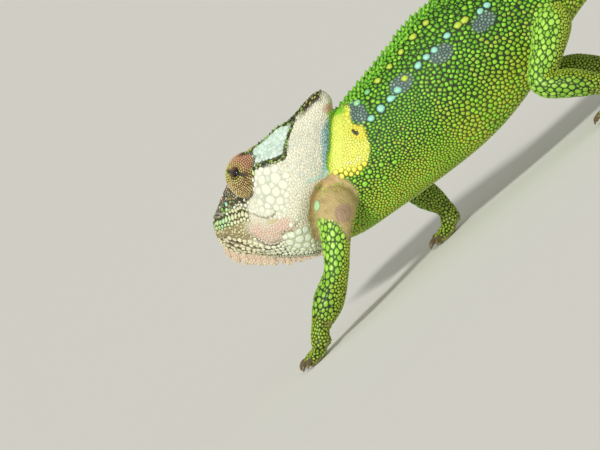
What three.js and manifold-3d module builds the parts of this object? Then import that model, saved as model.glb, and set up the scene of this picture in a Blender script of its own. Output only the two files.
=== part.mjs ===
// A life-size standing chameleon, still, on its four feet and its coiled tail.
// Millimetres, +Z up, floor at z = 0. The animal faces -X and its left side faces -Y.
// The origin ends at the middle of the model's box, on the floor.

import * as THREE from "three";
import { mergeVertices } from "three/addons/utils/BufferGeometryUtils.js";
import Module from "manifold-3d";

const wasm = await Module();
wasm.setup();

// ---------------------------------------------------------------- driving dimensions

const GAP = 0.3; // between nodes that touch
const DEGREE = Math.PI / 180;
const LEFT = -1; // the animal's left is -Y
const RIGHT = 1;

// The head's own frame: "back" from the snout tip along the mouth, "high" above the mouth
// at the snout tip, "out" from the middle plane.
const HEAD = {
  snout: new THREE.Vector3(-19.5, 9.5, 30.2), // snout tip in the body's frame
  yaw: 25 * DEGREE, // turned to the animal's right
  pitch: 22.5 * DEGREE, // nose up
  roll: 8 * DEGREE, // left side up
  length: 30,
  rows: 26,
  sides: 24,
};
const TURRET = { back: 10.9, high: 6.9, out: 4, radius: 4.3, inner: 1, aperture: 0.95, depth: 1 };
const GAZE = { forward: 0.28, up: 0.39 }; // slopes of the turret's axis from straight out
const NOSTRIL = { back: 3.1, high: 2.9, out: 3.3, radius: 0.42 };

const BODY = { front: -9, back: 66, rows: 26, sides: 18, widest: 0.42 };
const CUTS = { neck: 8, chest: 19, belly: 46, pelvis: 61 }; // where the trunk is parted, on X
const TAIL = { start: 60, high: 22.3, lift: 4 * DEGREE, straight: 20, length: 94 };
const COIL = { first: 12.3, last: 2.7 }; // radius of the tail's curl, first and last
const TAIL_PARTS = [20, 38, 55, 72]; // where the tail is parted, along its length

const CREST = {
  start: 12.4,
  pitch: 2.5,
  height: 1.75,
  radius: 0.8,
  lean: 38 * DEGREE,
  sink: 0.7, // depth of a cone's root, in radii
};
const SIDE_CREST = { height: 0.85, radius: 0.55, turn: 0.075 }; // the rows beside the crest
const HEAD_CREST = { pitch: 1.45, height: 0.55, radius: 0.45 };
const GULAR = { first: 0.9, last: 18.6, wide: 1.55, narrow: 1.05, longest: 2.75, shortest: 0.7 };
const TUBERCLE = { start: 14, pitch: 2.5, turn: 0.15, length: 0.95, width: 0.65, rise: 0.35 };
const SOLE = 0; // level of the soles' flats

// ---------------------------------------------------------------- curves and solids

/** A smooth value along a list of [place, value] keys, level past both ends. */
function curve(keys) {
  const slope = keys.map((_, i) => {
    const a = keys[Math.max(i - 1, 0)];
    const b = keys[Math.min(i + 1, keys.length - 1)];
    return (b[1] - a[1]) / (b[0] - a[0]);
  });
  return (place) => {
    if (place <= keys[0][0]) return keys[0][1];
    if (place >= keys[keys.length - 1][0]) return keys[keys.length - 1][1];
    const i = keys.findIndex((key) => key[0] > place) - 1;
    const [x0, y0] = keys[i];
    const [x1, y1] = keys[i + 1];
    const span = x1 - x0;
    const t = (place - x0) / span;
    const rise = (1 - t) ** 2 * (1 + 2 * t) * y0 + t * t * (3 - 2 * t) * y1;
    return rise + span * t * (1 - t) * ((1 - t) * slope[i] - t * slope[i + 1]);
  };
}

/** A closed three.js geometry as a solid, turned outwards if it came inside out. */
function solidOf(geometry) {
  geometry.deleteAttribute("normal");
  geometry.deleteAttribute("uv");
  const merged = mergeVertices(geometry, 1e-4);
  const triVerts = new Uint32Array(merged.index.array);
  const build = () =>
    new wasm.Manifold(
      new wasm.Mesh({
        numProp: 3,
        vertProperties: new Float32Array(merged.attributes.position.array),
        triVerts,
      }),
    );
  const solid = build();
  if (solid.volume() > 0) return solid;
  for (let i = 0; i < triVerts.length; i += 3) {
    [triVerts[i + 1], triVerts[i + 2]] = [triVerts[i + 2], triVerts[i + 1]];
  }
  return build();
}

/** Several solids joined as one. */
function join(solids) {
  return solids.reduce((whole, piece) => whole.add(piece));
}

/** The largest closed body of a solid, so that no scrap of a cut is kept. */
function largest(solid) {
  const bodies = solid.decompose();
  return bodies.reduce((best, body) => (body.volume() > best.volume() ? body : best));
}

/** Shares of the length at which rows stand, closer together at both ends. */
function rowPlace(row, rows) {
  const even = row / rows;
  const rounded = (1 - Math.cos(Math.PI * even)) / 2;
  return (even + rounded) / 2;
}

/** How far a section opens at a share of the length: 0 at both ends, 1 between them. */
function opening(share, sharpness) {
  return (1 - Math.abs(2 * share - 1) ** sharpness) ** (1 / sharpness);
}

/**
 * A sphere pulled into a body: pointAt(share of length, turn, opening) places each vertex.
 * The ends are flat, or round by so much: the higher the number, the blunter they are.
 */
const FLAT = 0;
function pulled(rows, sides, ends, pointAt) {
  const ball = new THREE.SphereGeometry(1, sides, rows);
  for (let row = 0, i = 0; row <= rows; row++) {
    const even = Math.min(Math.max((row - 1) / (rows - 2), 0), 1);
    const share = ends === FLAT ? even : rowPlace(row, rows);
    const closed = row === 0 || row === rows;
    const open = closed ? 0 : ends === FLAT ? 1 : opening(share, ends);
    for (let side = 0; side <= sides; side++, i++) {
      const p = pointAt(share, (side % sides) / sides, open);
      ball.attributes.position.setXYZ(i, p.x, p.y, p.z);
    }
  }
  return solidOf(ball);
}

const AHEAD = new THREE.Vector3(-1, 0, 0);
const UPWARD = new THREE.Vector3(0, 0, 1);

/**
 * The skin of a round limb along a smooth line of stations [x, y, z, radius], as a function
 * that gives the place and the outward direction at a share of its length and of a turn.
 * Turns count from the side that looks towards the given direction.
 */
function limbSkin(stations, towards) {
  const line = new THREE.CatmullRomCurve3(
    stations.map(([x, y, z]) => new THREE.Vector3(x, y, z)),
    false,
    "centripetal",
  );
  const radius = curve(stations.map((s, i) => [i / (stations.length - 1), s[3]]));
  return (share, turn, open = 1) => {
    const along = line.getTangent(share);
    const front = towards.clone().addScaledVector(along, -towards.dot(along)).normalize();
    const beside = new THREE.Vector3().crossVectors(along, front);
    const angle = 2 * Math.PI * turn;
    const outward = front.multiplyScalar(Math.cos(angle));
    outward.addScaledVector(beside, Math.sin(angle));
    const place = line.getPoint(share).addScaledVector(outward, radius(share) * open);
    return { place, outward, along };
  };
}

/** A round limb along a smooth line of stations. */
function limb(stations, rows, sides, towards) {
  const skin = limbSkin(stations, towards);
  return pulled(rows, sides, 3, (share, turn, open) => skin(share, turn, open).place);
}

/** A sphere of few faces, scaled along its own axes, at a place. */
function blob(at, [rx, ry, rz], sides = 12, rows = 8) {
  const ball = new THREE.SphereGeometry(1, sides, rows);
  ball.rotateX(Math.PI / 2).scale(rx, ry, rz).translate(at.x, at.y, at.z);
  return solidOf(ball);
}

/** A low oval plate on a surface, with half sizes along, across and outwards. */
function plate({ place, outward, along }, [long, wide, rise], sides = 6) {
  const across = new THREE.Vector3().crossVectors(outward, along).normalize();
  const level = new THREE.Vector3().crossVectors(across, outward).normalize();
  const lens = new THREE.SphereGeometry(1, sides, 3).rotateX(Math.PI / 2);
  lens.scale(long, wide, rise);
  lens.applyMatrix4(new THREE.Matrix4().makeBasis(level, across, outward).setPosition(place));
  return solidOf(lens);
}

/** A cone from its base's centre towards its tip. */
function cone(base, tip, radius, sides = 6) {
  const length = base.distanceTo(tip);
  const spike = new THREE.ConeGeometry(radius, length, sides);
  const turn = new THREE.Quaternion().setFromUnitVectors(
    new THREE.Vector3(0, 1, 0),
    tip.clone().sub(base).normalize(),
  );
  spike.translate(0, length / 2, 0).applyQuaternion(turn).translate(base.x, base.y, base.z);
  return solidOf(spike);
}

// ---------------------------------------------------------------- the head

const headTurn = (() => {
  const forward = new THREE.Vector3(
    -Math.cos(HEAD.pitch) * Math.cos(HEAD.yaw),
    Math.cos(HEAD.pitch) * Math.sin(HEAD.yaw),
    Math.sin(HEAD.pitch),
  );
  const up = new THREE.Vector3(
    Math.sin(HEAD.pitch) * Math.cos(HEAD.yaw),
    -Math.sin(HEAD.pitch) * Math.sin(HEAD.yaw),
    Math.cos(HEAD.pitch),
  );
  const right = new THREE.Vector3().crossVectors(forward, up);
  up.applyAxisAngle(forward, HEAD.roll);
  right.applyAxisAngle(forward, HEAD.roll);
  return new THREE.Matrix4()
    .makeBasis(forward.negate(), right, up)
    .setPosition(HEAD.snout);
})();

/** A point of the head's own frame in the body's frame. */
function onHead(back, out, high) {
  return new THREE.Vector3(back, out, high).applyMatrix4(headTurn);
}

// Each pair is a half width and a height along the head, from the crown down to the throat.
const crown = {
  out: () => 0,
  high: curve([[0, 0.8], [1.6, 2.1], [4.3, 4.9], [6.2, 6.3], [8.5, 8], [11.5, 9.6],
    [16.2, 11.8], [21.1, 14.4], [24.9, 17.5], [26.8, 18.5], [28.5, 18], [29.6, 16.4], [30, 15]]),
};
const ridge = {
  out: curve([[0, 0.8], [1.6, 1.9], [4.3, 2.9], [6.2, 3.5], [8.5, 4.2], [11.5, 4.6],
    [16.2, 4.3], [18.3, 3.8], [21.1, 3.1], [24.9, 1.9], [27, 1.4], [30, 1.3]]),
  high: curve([[0, 0.6], [1.6, 1.8], [4.3, 4.7], [6.2, 6.5], [8.5, 8.9], [11.5, 10.9],
    [13.1, 11.5], [16.2, 12.8], [18.3, 13.9], [21.1, 14.7], [24.9, 17.3], [26.8, 18.2],
    [28.5, 17.6], [29.6, 16], [30, 14.6]]),
};
const temple = {
  out: curve([[0, 1.3], [1, 2.5], [3.3, 3.5], [6, 4.1], [9, 4.4], [11, 5.3], [12.5, 7.2],
    [16, 7.5], [20, 7.5], [24, 7], [28, 5.6], [30, 4.6]]),
  high: curve([[0, 0.4], [1, 1.2], [3.3, 2.4], [8, 5], [13.3, 8.2], [16, 8.8], [20, 8.9],
    [30, 9]]),
};
const flank = {
  out: (a) => 0.42 * ridge.out(a) + 0.58 * temple.out(a) - 0.3,
  high: (a) => 0.5 * (ridge.high(a) + temple.high(a)),
};
const lip = {
  out: curve([[0, 1.4], [1, 2.7], [3.3, 4], [6, 4.9], [9, 5.8], [12, 7], [15, 7.3],
    [20, 7.4], [25, 7], [30, 5]]),
  high: curve([[0, 0], [6, 0.8], [9, 1.1], [12, -0.6], [15, -1.4], [20, -1.2], [30, 0]]),
};
const jaw = {
  out: curve([[0, 1.5], [1, 2.8], [3.3, 4.1], [6, 5.2], [9, 6.1], [12, 6.6], [16, 6.9],
    [20, 6.8], [30, 5]]),
  high: curve([[0, -1.6], [3, -2.2], [8, -2.9], [14, -4.6], [20, -4.8], [30, -4.4]]),
};
const throat = {
  out: curve([[0, 1.2], [1, 1.9], [3.3, 2.8], [8, 3.6], [14, 4.1], [20, 4], [30, 3.6]]),
  high: curve([[0, -3.6], [3, -5.2], [8, -6.9], [14, -8.3], [20, -8.8], [30, -8.4]]),
};
const keel = {
  out: () => 0,
  high: curve([[0, -4.2], [0.6, -5.4], [2, -6.6], [5.5, -7.9], [9, -8.9], [13.7, -10],
    [17, -10.5], [22, -10.7], [30, -10.4]]),
};
const HEAD_LINES = [crown, ridge, flank, temple, lip, jaw, throat, keel];
const closing = curve([[0, -1.8], [4, -0.8], [10, 1.5], [30, 4]]); // where sections close to
const NAPE = 17; // from here back the head ends sooner, the lower it is
const headEnd = curve([[-11, 19.2], [-8, 19.8], [-5, 20.3], [-2, 21.2], [0.5, 23], [2.5, 25],
  [4, 26.2], [8, 27.2], [14, 28.4], [16, 29.6], [18, 30]]);

/** The outline across the head at a place along it, as a closed curve of (0, out, high). */
function headRing(back, grow = 0) {
  const last = HEAD_LINES.length - 1;
  const middle = closing(back);
  const ring = [];
  for (let i = 0; i < 2 * last; i++) {
    const line = HEAD_LINES[i <= last ? i : 2 * last - i];
    const side = i <= last ? LEFT : RIGHT;
    const out = side * line.out(back);
    const high = line.high(back) - middle;
    const size = Math.hypot(out, high);
    const wide = (size + grow) / size;
    ring.push(new THREE.Vector3(0, out * wide, middle + high * wide));
  }
  return new THREE.CatmullRomCurve3(ring, true, "centripetal");
}

/** How far out the cheek stands at a place along the head and a height. */
function cheekOut(back, high) {
  const points = headRing(back).getPoints(160);
  const near = points.filter((p) => p.y > 0 && Math.abs(p.z - high) < 0.6);
  const best = near.reduce((a, b) => (Math.abs(a.z - high) < Math.abs(b.z - high) ? a : b));
  return best.y;
}

/** The whole head with its throat, grown outwards by so much on every side. */
function wholeHead(grow = 0) {
  return pulled(HEAD.rows, HEAD.sides, 9, (share, turn, open) => {
    const back = share * HEAD.length;
    const middle = closing(back);
    const p = headRing(back, grow).getPoint(turn);
    const high = middle + (p.z - middle) * open;
    const squeeze = (headEnd(high) - NAPE) / (HEAD.length - NAPE);
    const warped = back > NAPE ? NAPE + (back - NAPE) * squeeze : back;
    return onHead(warped + grow * (2 * share - 1), p.y * open, high);
  });
}

/** The thin wall along the mouth and down behind the jaw that parts the jaw from the head. */
function mouthCut() {
  const line = [[-3, 0.1], [0.6, 0.1], [3.5, 0.5], [5.8, 0.8], [8.5, 1.1], [10, 0.1],
    [11.7, -0.7], [13.1, -1.3], [15, -1.6], [19, -2.1], [28, -2.6]];
  const half = GAP / 2;
  const side = (sign) =>
    line.map(([back, high], i) => {
      const a = line[Math.max(i - 1, 0)];
      const b = line[Math.min(i + 1, line.length - 1)];
      const length = Math.hypot(b[0] - a[0], b[1] - a[1]);
      const shift = (sign * half) / length;
      return new THREE.Vector2(back - shift * (b[1] - a[1]), high + shift * (b[0] - a[0]));
    });
  const outline = new THREE.Shape([...side(1), ...side(-1).reverse()]);
  const wall = new THREE.ExtrudeGeometry(outline, { depth: 24, bevelEnabled: false });
  wall.translate(0, 0, -12).rotateX(Math.PI / 2).applyMatrix4(headTurn);
  return solidOf(wall);
}

/** The turret's centre and outward axis on one side. */
function turretPlace(side) {
  const centre = onHead(TURRET.back, side * TURRET.out, TURRET.high);
  const aim = onHead(TURRET.back - GAZE.forward, side * (TURRET.out + 1), TURRET.high + GAZE.up);
  return { centre, axis: aim.sub(centre).normalize() };
}

/** A ball about the turret's centre, flat towards the middle of the head. */
function turretBall(side, grow) {
  const { centre } = turretPlace(side);
  const r = TURRET.radius + grow;
  const outward = onHead(0, side, 0).sub(onHead(0, 0, 0));
  const inner = outward.dot(onHead(TURRET.back, side * (TURRET.inner - grow), TURRET.high));
  return blob(centre, [r, r, r], 15, 10).trimByPlane(outward.toArray(), inner);
}

/** The round lid of fused skin over one eye, with the small hole that the eye looks through. */
function eyeTurret(side) {
  const { centre, axis } = turretPlace(side);
  const socket = new THREE.CylinderGeometry(TURRET.aperture, TURRET.aperture, 4, 10);
  const turn = new THREE.Quaternion().setFromUnitVectors(new THREE.Vector3(0, 1, 0), axis);
  const at = centre.clone().addScaledVector(axis, TURRET.radius - 2 * TURRET.depth + 2);
  socket.applyQuaternion(turn).translate(at.x, at.y, at.z);
  return turretBall(side, 0).subtract(solidOf(socket));
}

/** The eye itself, low in the turret's hole. */
function eyeball(side) {
  const { centre, axis } = turretPlace(side);
  const r = TURRET.aperture - GAP;
  const low = TURRET.radius - 2 * TURRET.depth + GAP + r;
  return blob(centre.clone().addScaledVector(axis, low), [r, r, r], 10, 6);
}

// ---------------------------------------------------------------- trunk and tail

const back = curve([[-9, 27], [-5, 28.4], [0, 29.8], [5, 31], [11, 32.1], [18.3, 33.1],
  [24.2, 34.2], [31, 35.7], [38, 35.6], [46, 33.4], [54, 29.8], [60, 26.5], [66, 24.6]]);
const belly = curve([[-9, 14.2], [-4, 12.5], [0, 11.4], [7, 10.8], [15, 10.2], [25, 9.8],
  [33, 10.4], [41, 12.2], [49, 15], [55, 17], [60, 18.1], [66, 19.4]]);
const girth = curve([[-9, 4.2], [-4, 5.2], [0, 5.9], [6, 6.3], [12, 6.7], [22, 7.1], [32, 7.1],
  [42, 6.2], [50, 5], [56, 4.2], [60, 3.7], [66, 3.1]]);
const sway = curve([[-9, 3.6], [-5, 2.5], [0, 1.2], [6, 0.3], [12, 0], [66, 0]]);

/** A point of the trunk's skin at a place along it and a turn from the back's keel. */
function onTrunk(x, turn, grow = 0, open = 1) {
  const top = back(x) + grow;
  const bottom = belly(x) - grow;
  const middle = bottom + BODY.widest * (top - bottom);
  const angle = 2 * Math.PI * turn;
  const rise = Math.cos(angle);
  const narrow = rise > 0 ? 1.3 : 0.95;
  const out = Math.sign(Math.sin(angle)) * Math.abs(Math.sin(angle)) ** narrow;
  const half = rise > 0 ? top - middle : middle - bottom;
  return new THREE.Vector3(
    x,
    sway(x) + open * (girth(x) + grow) * out,
    middle + open * half * rise,
  );
}

/** The same point with the directions outwards and along the body. */
function trunkSkin(x, turn) {
  const place = onTrunk(x, turn);
  const along = onTrunk(x + 0.1, turn).sub(place).normalize();
  const around = onTrunk(x, turn + 0.001).sub(place).normalize();
  const outward = new THREE.Vector3().crossVectors(along, around);
  return { place, outward, along };
}

/** The trunk from inside the head to the root of the tail. */
function trunk(grow = 0) {
  return pulled(BODY.rows, BODY.sides, 8, (share, turn, open) => {
    const x = BODY.front + share * (BODY.back - BODY.front);
    return onTrunk(x, turn, grow, open);
  });
}

const TAIL_STEP = 0.5;
/** Points and headings down the middle of the tail, one each TAIL_STEP. */
const tailLine = (() => {
  const places = [];
  let x = TAIL.start;
  let z = TAIL.high;
  let heading = TAIL.lift;
  for (let s = 0; s <= TAIL.length; s += TAIL_STEP) {
    places.push({ x, z, heading });
    const share = Math.max(0, s - TAIL.straight) / (TAIL.length - TAIL.straight);
    const radius = COIL.first + (COIL.last - COIL.first) * share;
    if (s >= TAIL.straight) heading -= TAIL_STEP / radius;
    x += TAIL_STEP * Math.cos(heading);
    z += TAIL_STEP * Math.sin(heading);
  }
  return places;
})();
const tailHeight = curve([[0, 4.1], [8, 3.4], [20, 2.8], [40, 2.2], [60, 1.6], [80, 1.05],
  [92, 0.65], [94, 0.2]]);
const tailWidth = curve([[0, 3.6], [8, 2.9], [20, 2.4], [40, 1.9], [60, 1.4], [80, 0.95],
  [92, 0.6], [94, 0.2]]);

/** The place so far down the tail. */
function onTail(s) {
  const exact = Math.min(s / TAIL_STEP, tailLine.length - 1.001);
  const i = Math.floor(exact);
  const t = exact - i;
  const [a, b] = [tailLine[i], tailLine[i + 1]];
  const mix = (u, v) => u + (v - u) * t;
  return { x: mix(a.x, b.x), z: mix(a.z, b.z), heading: mix(a.heading, b.heading) };
}

/** The tail from so far down to so far down, flat at both ends. */
function tailPiece(from, to, rows, sides) {
  return pulled(rows, sides, FLAT, (share, turn, open) => {
    const s = from + share * (to - from);
    const { x, z, heading } = onTail(s);
    const angle = 2 * Math.PI * turn;
    const high = open * tailHeight(s) * Math.cos(angle);
    const out = open * tailWidth(s) * Math.sin(angle);
    return new THREE.Vector3(x - high * Math.sin(heading), out, z + high * Math.cos(heading));
  });
}

/** Half spaces: what lies past an X, before an X, or above the floor. */
function pastX(solid, x) {
  return solid.trimByPlane([1, 0, 0], x);
}
function beforeX(solid, x) {
  return solid.trimByPlane([-1, 0, 0], -x);
}
function aboveFloor(solid) {
  return solid.trimByPlane([0, 0, 1], SOLE);
}

/** A cone that stands on a surface and leans back along it. */
function leaningCone({ place, outward, along }, height, radius, lean = CREST.lean) {
  const aim = outward.clone().multiplyScalar(Math.cos(lean));
  aim.addScaledVector(along, Math.sin(lean)).normalize();
  const tip = place.clone().addScaledVector(aim, height);
  return cone(place.clone().addScaledVector(aim, -CREST.sink * radius), tip, radius, 5);
}

/** Whether something that reaches so far each way from x stays clear of a length's ends. */
function fits(x, ahead, behind, from, to) {
  return x - ahead > from && x + behind + GAP < to;
}

/** The cones along the back, from the nape to the tail's root: one keel row, two beside it. */
function trunkCrest(from, to) {
  const cones = [];
  for (let x = CREST.start; x < CUTS.pelvis; x += CREST.pitch) {
    const scale = 1 - 0.4 * Math.max(0, (x - 30) / 30);
    if (fits(x, CREST.radius, CREST.height, from, to)) {
      const [height, radius] = [CREST.height * scale, CREST.radius * scale];
      cones.push(leaningCone(trunkSkin(x, 0), height, radius));
    }
    const beside = x + CREST.pitch / 2;
    if (!fits(beside, SIDE_CREST.radius, SIDE_CREST.height, from, to)) continue;
    for (const turn of [SIDE_CREST.turn, 1 - SIDE_CREST.turn]) {
      const [height, radius] = [SIDE_CREST.height * scale, SIDE_CREST.radius * scale];
      cones.push(leaningCone(trunkSkin(beside, turn), height, radius));
    }
  }
  return cones;
}

/** The row of large oval tubercles along each flank, below the crest. */
function trunkTubercles(from, to) {
  const plates = [];
  for (let x = TUBERCLE.start; x < CUTS.pelvis - 3; x += TUBERCLE.pitch) {
    if (!fits(x, TUBERCLE.length, TUBERCLE.length, from, to)) continue;
    const scale = 1 - 0.35 * Math.max(0, (x - 30) / 30);
    const size = [TUBERCLE.length, TUBERCLE.width, TUBERCLE.rise].map((v) => v * scale);
    for (const turn of [TUBERCLE.turn, 1 - TUBERCLE.turn]) {
      plates.push(plate(trunkSkin(x, turn), size));
    }
  }
  return plates;
}

/** The cones along the first lengths of the tail, smaller and smaller. */
function tailCrest(from, to) {
  const cones = [];
  for (let s = 2; s < TAIL_PARTS[1]; s += CREST.pitch) {
    if (!fits(s, CREST.radius, CREST.height, from, to)) continue;
    const { x, z, heading } = onTail(s);
    const outward = new THREE.Vector3(-Math.sin(heading), 0, Math.cos(heading));
    const along = new THREE.Vector3(Math.cos(heading), 0, Math.sin(heading));
    const place = new THREE.Vector3(x, 0, z).addScaledVector(outward, tailHeight(s));
    const scale = 0.6 - 0.008 * s;
    const skin = { place, outward, along };
    cones.push(leaningCone(skin, CREST.height * scale, CREST.radius * scale));
  }
  return cones;
}

/** The lobes of skin that hang from the throat's keel: long and broad at the chin. */
function gularLobes() {
  const lobes = [];
  let place = GULAR.first;
  while (place < GULAR.last) {
    const share = (place - GULAR.first) / (GULAR.last - GULAR.first);
    const pitch = share < 0.38 ? GULAR.wide : GULAR.narrow;
    const length = GULAR.longest + (GULAR.shortest - GULAR.longest) * share ** 0.8;
    const lobe = new THREE.SphereGeometry(1, 6, 5).rotateX(Math.PI / 2);
    lobe.scale(0.56 * pitch, 0.4 + 0.1 * pitch, length);
    lobe.translate(place, 0, keel.high(place) + 0.1).applyMatrix4(headTurn);
    lobes.push(solidOf(lobe));
    place += pitch;
  }
  return lobes;
}

/** The rows of small cones on the ridge over each eye and on each temple. */
function headCrest() {
  const cones = [];
  const rows = [
    { line: ridge, stations: [12.5, 27.5], aim: [0.5, 0.85] },
    { line: temple, stations: [14, 19.5], aim: [0.9, 0.45] },
  ];
  for (const side of [LEFT, RIGHT]) {
    for (const { line, stations, aim } of rows) {
      for (let place = stations[0]; place < stations[1]; place += HEAD_CREST.pitch) {
        const [out, high] = [side * (line.out(place) - 0.1), line.high(place) - 0.15];
        const tall = HEAD_CREST.height + 0.25;
        const base = onHead(place, out, high);
        const tip = onHead(place + 0.3, out + side * aim[0] * tall, high + aim[1] * tall);
        cones.push(cone(base, tip, HEAD_CREST.radius, 5));
      }
    }
  }
  return cones;
}

/** The large flat round scales of each cheek, behind and below the eye. */
function cheekPlates() {
  const centres = [[14.4, 4.6], [15.7, 5.6], [14.9, 3.1], [16.3, 3.9], [17.2, 5.3], [17.7, 3.7],
    [13.6, 2.1], [15.5, 1.7]];
  const plates = [];
  for (const side of [LEFT, RIGHT]) {
    for (const [place, high] of centres) {
      const out = cheekOut(place, high);
      const here = onHead(place, side * out, high);
      const ahead = onHead(place + 0.2, side * cheekOut(place + 0.2, high), high);
      const above = onHead(place, side * cheekOut(place, high + 0.2), high + 0.2);
      const along = ahead.sub(here).normalize();
      const outward = along.clone().cross(above.sub(here)).multiplyScalar(-side).normalize();
      plates.push(plate({ place: here, outward, along }, [0.62, 0.62, 0.2]));
    }
  }
  return plates;
}

// ---------------------------------------------------------------- legs and feet

/**
 * Each leg by its joints. The foot is given by where its palm stands and which way it points,
 * in degrees from straight ahead towards the outside.
 */
const LEGS = {
  front_left: {
    names: ["upper_arm_left", "forearm_left", "front_foot_left"],
    side: LEFT,
    root: [0.2, -3.4, 19.9, 4.4],
    bulge: [-0.7, -6, 18.9, 4.5],
    middle: [-4.6, -8.9, 14.4, 2.8],
    bend: [-8.2, -10.2, 10.1, 2.35],
    lower: [-12.8, -10.9, 6.9, 2.9],
    ankle: [-17.4, -11.4, 3.8, 1.75],
    foot: { x: -18.4, y: -11.6, heading: 6, toes: [3, 2], spread: [38, -30] },
  },
  front_right: {
    names: ["upper_arm_right", "forearm_right", "front_foot_right"],
    side: RIGHT,
    root: [2.6, 3.8, 20.2, 4.3],
    bulge: [4, 6.4, 19.2, 3.9],
    middle: [7.4, 8.8, 16.8, 2.8],
    bend: [11.2, 10.4, 13.6, 2.4],
    lower: [13.4, 11.3, 8.6, 2.75],
    ankle: [14.6, 11.8, 3.9, 1.75],
    foot: { x: 14, y: 11.9, heading: 14, toes: [3, 2], spread: [38, -34] },
  },
  hind_left: {
    names: ["thigh_left", "shin_left", "hind_foot_left"],
    side: LEFT,
    root: [53, -2.6, 20.6, 4],
    bulge: [50.4, -5.4, 18.8, 3.9],
    middle: [46, -8.6, 15.8, 3.1],
    bend: [41.8, -11, 12.4, 2.4],
    lower: [46.2, -11.9, 8.8, 2.7],
    ankle: [50.8, -12.3, 4, 1.75],
    foot: { x: 50.6, y: -12.5, heading: 14, toes: [2, 3], spread: [40, -34] },
  },
  hind_right: {
    names: ["thigh_right", "shin_right", "hind_foot_right"],
    side: RIGHT,
    root: [53, 2.6, 20.6, 4],
    bulge: [51.2, 5.4, 18.8, 3.9],
    middle: [48, 8.7, 15.4, 3.1],
    bend: [45, 11.2, 11.8, 2.4],
    lower: [50, 11.9, 8.4, 2.7],
    ankle: [54.8, 12.3, 4, 1.75],
    foot: { x: 55, y: 12.5, heading: 16, toes: [2, 3], spread: [40, -34] },
  },
};

// The large oval scutes of a leg's front and outside: [share of its length, turn, half length].
const UPPER_SCUTES = [
  [0.3, 0.02, 0.62],
  [0.36, 0.1, 0.7],
  [0.4, 0, 0.7],
  [0.44, 0.13, 0.7],
];
const LOWER_SCUTES = [
  [0.58, 0.02, 0.7],
  [0.61, 0.14, 0.66],
  [0.66, 0.06, 0.7],
  [0.71, 0.16, 0.6],
  [0.74, 0.02, 0.6],
];

const TOE = { reach: 5.4, root: 1.5, tip: 0.9, apart: 15 * DEGREE, claw: 1.5 };

/** A foot: a palm, two bundles of fused toes that point apart, and a claw on each toe. */
function footSolid({ side, foot, lower, ankle }) {
  const shank = lower.map((value, i) => value + 0.4 * (ankle[i] - value));
  const palm = [foot.x, foot.y, 2.1, 2.05];
  const heel = [foot.x - 0.4, foot.y, 1.3, 1.6];
  const pieces = [limb([shank, ankle, palm, heel], 9, 10, AHEAD)];
  foot.toes.forEach((count, bundle) => {
    for (let toe = 0; toe < count; toe++) {
      const fan = (toe - (count - 1) / 2) * TOE.apart;
      const outward = (foot.heading - foot.spread[bundle]) * DEGREE + fan;
      const aim = new THREE.Vector3(-Math.cos(outward), side * Math.sin(outward), 0);
      const reach = TOE.reach * (1 - 0.09 * Math.abs(toe - (count - 1) / 2));
      const at = (share, z, r) => [
        foot.x + aim.x * reach * share,
        foot.y + aim.y * reach * share,
        z,
        r,
      ];
      pieces.push(
        limb(
          [at(0, 1.3, TOE.root), at(0.5, 1.1, 1.3), at(0.85, 0.9, 1.1), at(1, 0.75, TOE.tip)],
          4,
          7,
          UPWARD,
        ),
      );
      const root = new THREE.Vector3(...at(0.86, 1.25, 0));
      const tip = new THREE.Vector3(...at(1, 0.35, 0)).addScaledVector(aim, TOE.claw);
      pieces.push(cone(root, tip, 0.55, 5));
    }
  });
  return aboveFloor(join(pieces));
}

/** A plane across a leg, as a normal and its distance, between two of the leg's stations. */
function planeAt(a, b, share) {
  const from = new THREE.Vector3(...a.slice(0, 3));
  const to = new THREE.Vector3(...b.slice(0, 3));
  const normal = to.clone().sub(from).normalize();
  return { normal, distance: normal.dot(from.lerp(to, share)) };
}

/** The part of a solid past a plane, or before it, with half the gap kept clear. */
function past(solid, { normal, distance }) {
  return solid.trimByPlane(normal.toArray(), distance + GAP / 2);
}
function before(solid, { normal, distance }) {
  const flipped = normal.clone().negate();
  return solid.trimByPlane(flipped.toArray(), -distance + GAP / 2);
}

// ---------------------------------------------------------------- the model

const COLOURS = {
  face: 0xe9e6d8,
  throat: 0xdcc9bd,
  turret: 0xb98a5a,
  eye: 0x0b0a08,
  neck: 0xd9d83a,
  green: 0x58b82c,
  leg: 0x7ac943,
};

const group = new THREE.Group();

/** Puts a solid into the group as a named node. */
function node(name, solid, colour) {
  const mesh = largest(solid).getMesh();
  const geometry = new THREE.BufferGeometry();
  geometry.setAttribute(
    "position",
    new THREE.BufferAttribute(new Float32Array(mesh.vertProperties), 3),
  );
  geometry.setIndex(new THREE.BufferAttribute(new Uint32Array(mesh.triVerts), 1));
  geometry.computeVertexNormals();
  const material = new THREE.MeshStandardMaterial({
    color: colour,
    roughness: 0.55,
    metalness: 0,
  });
  const part = new THREE.Mesh(geometry, material);
  part.name = name;
  group.add(part);
  return part;
}

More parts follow.
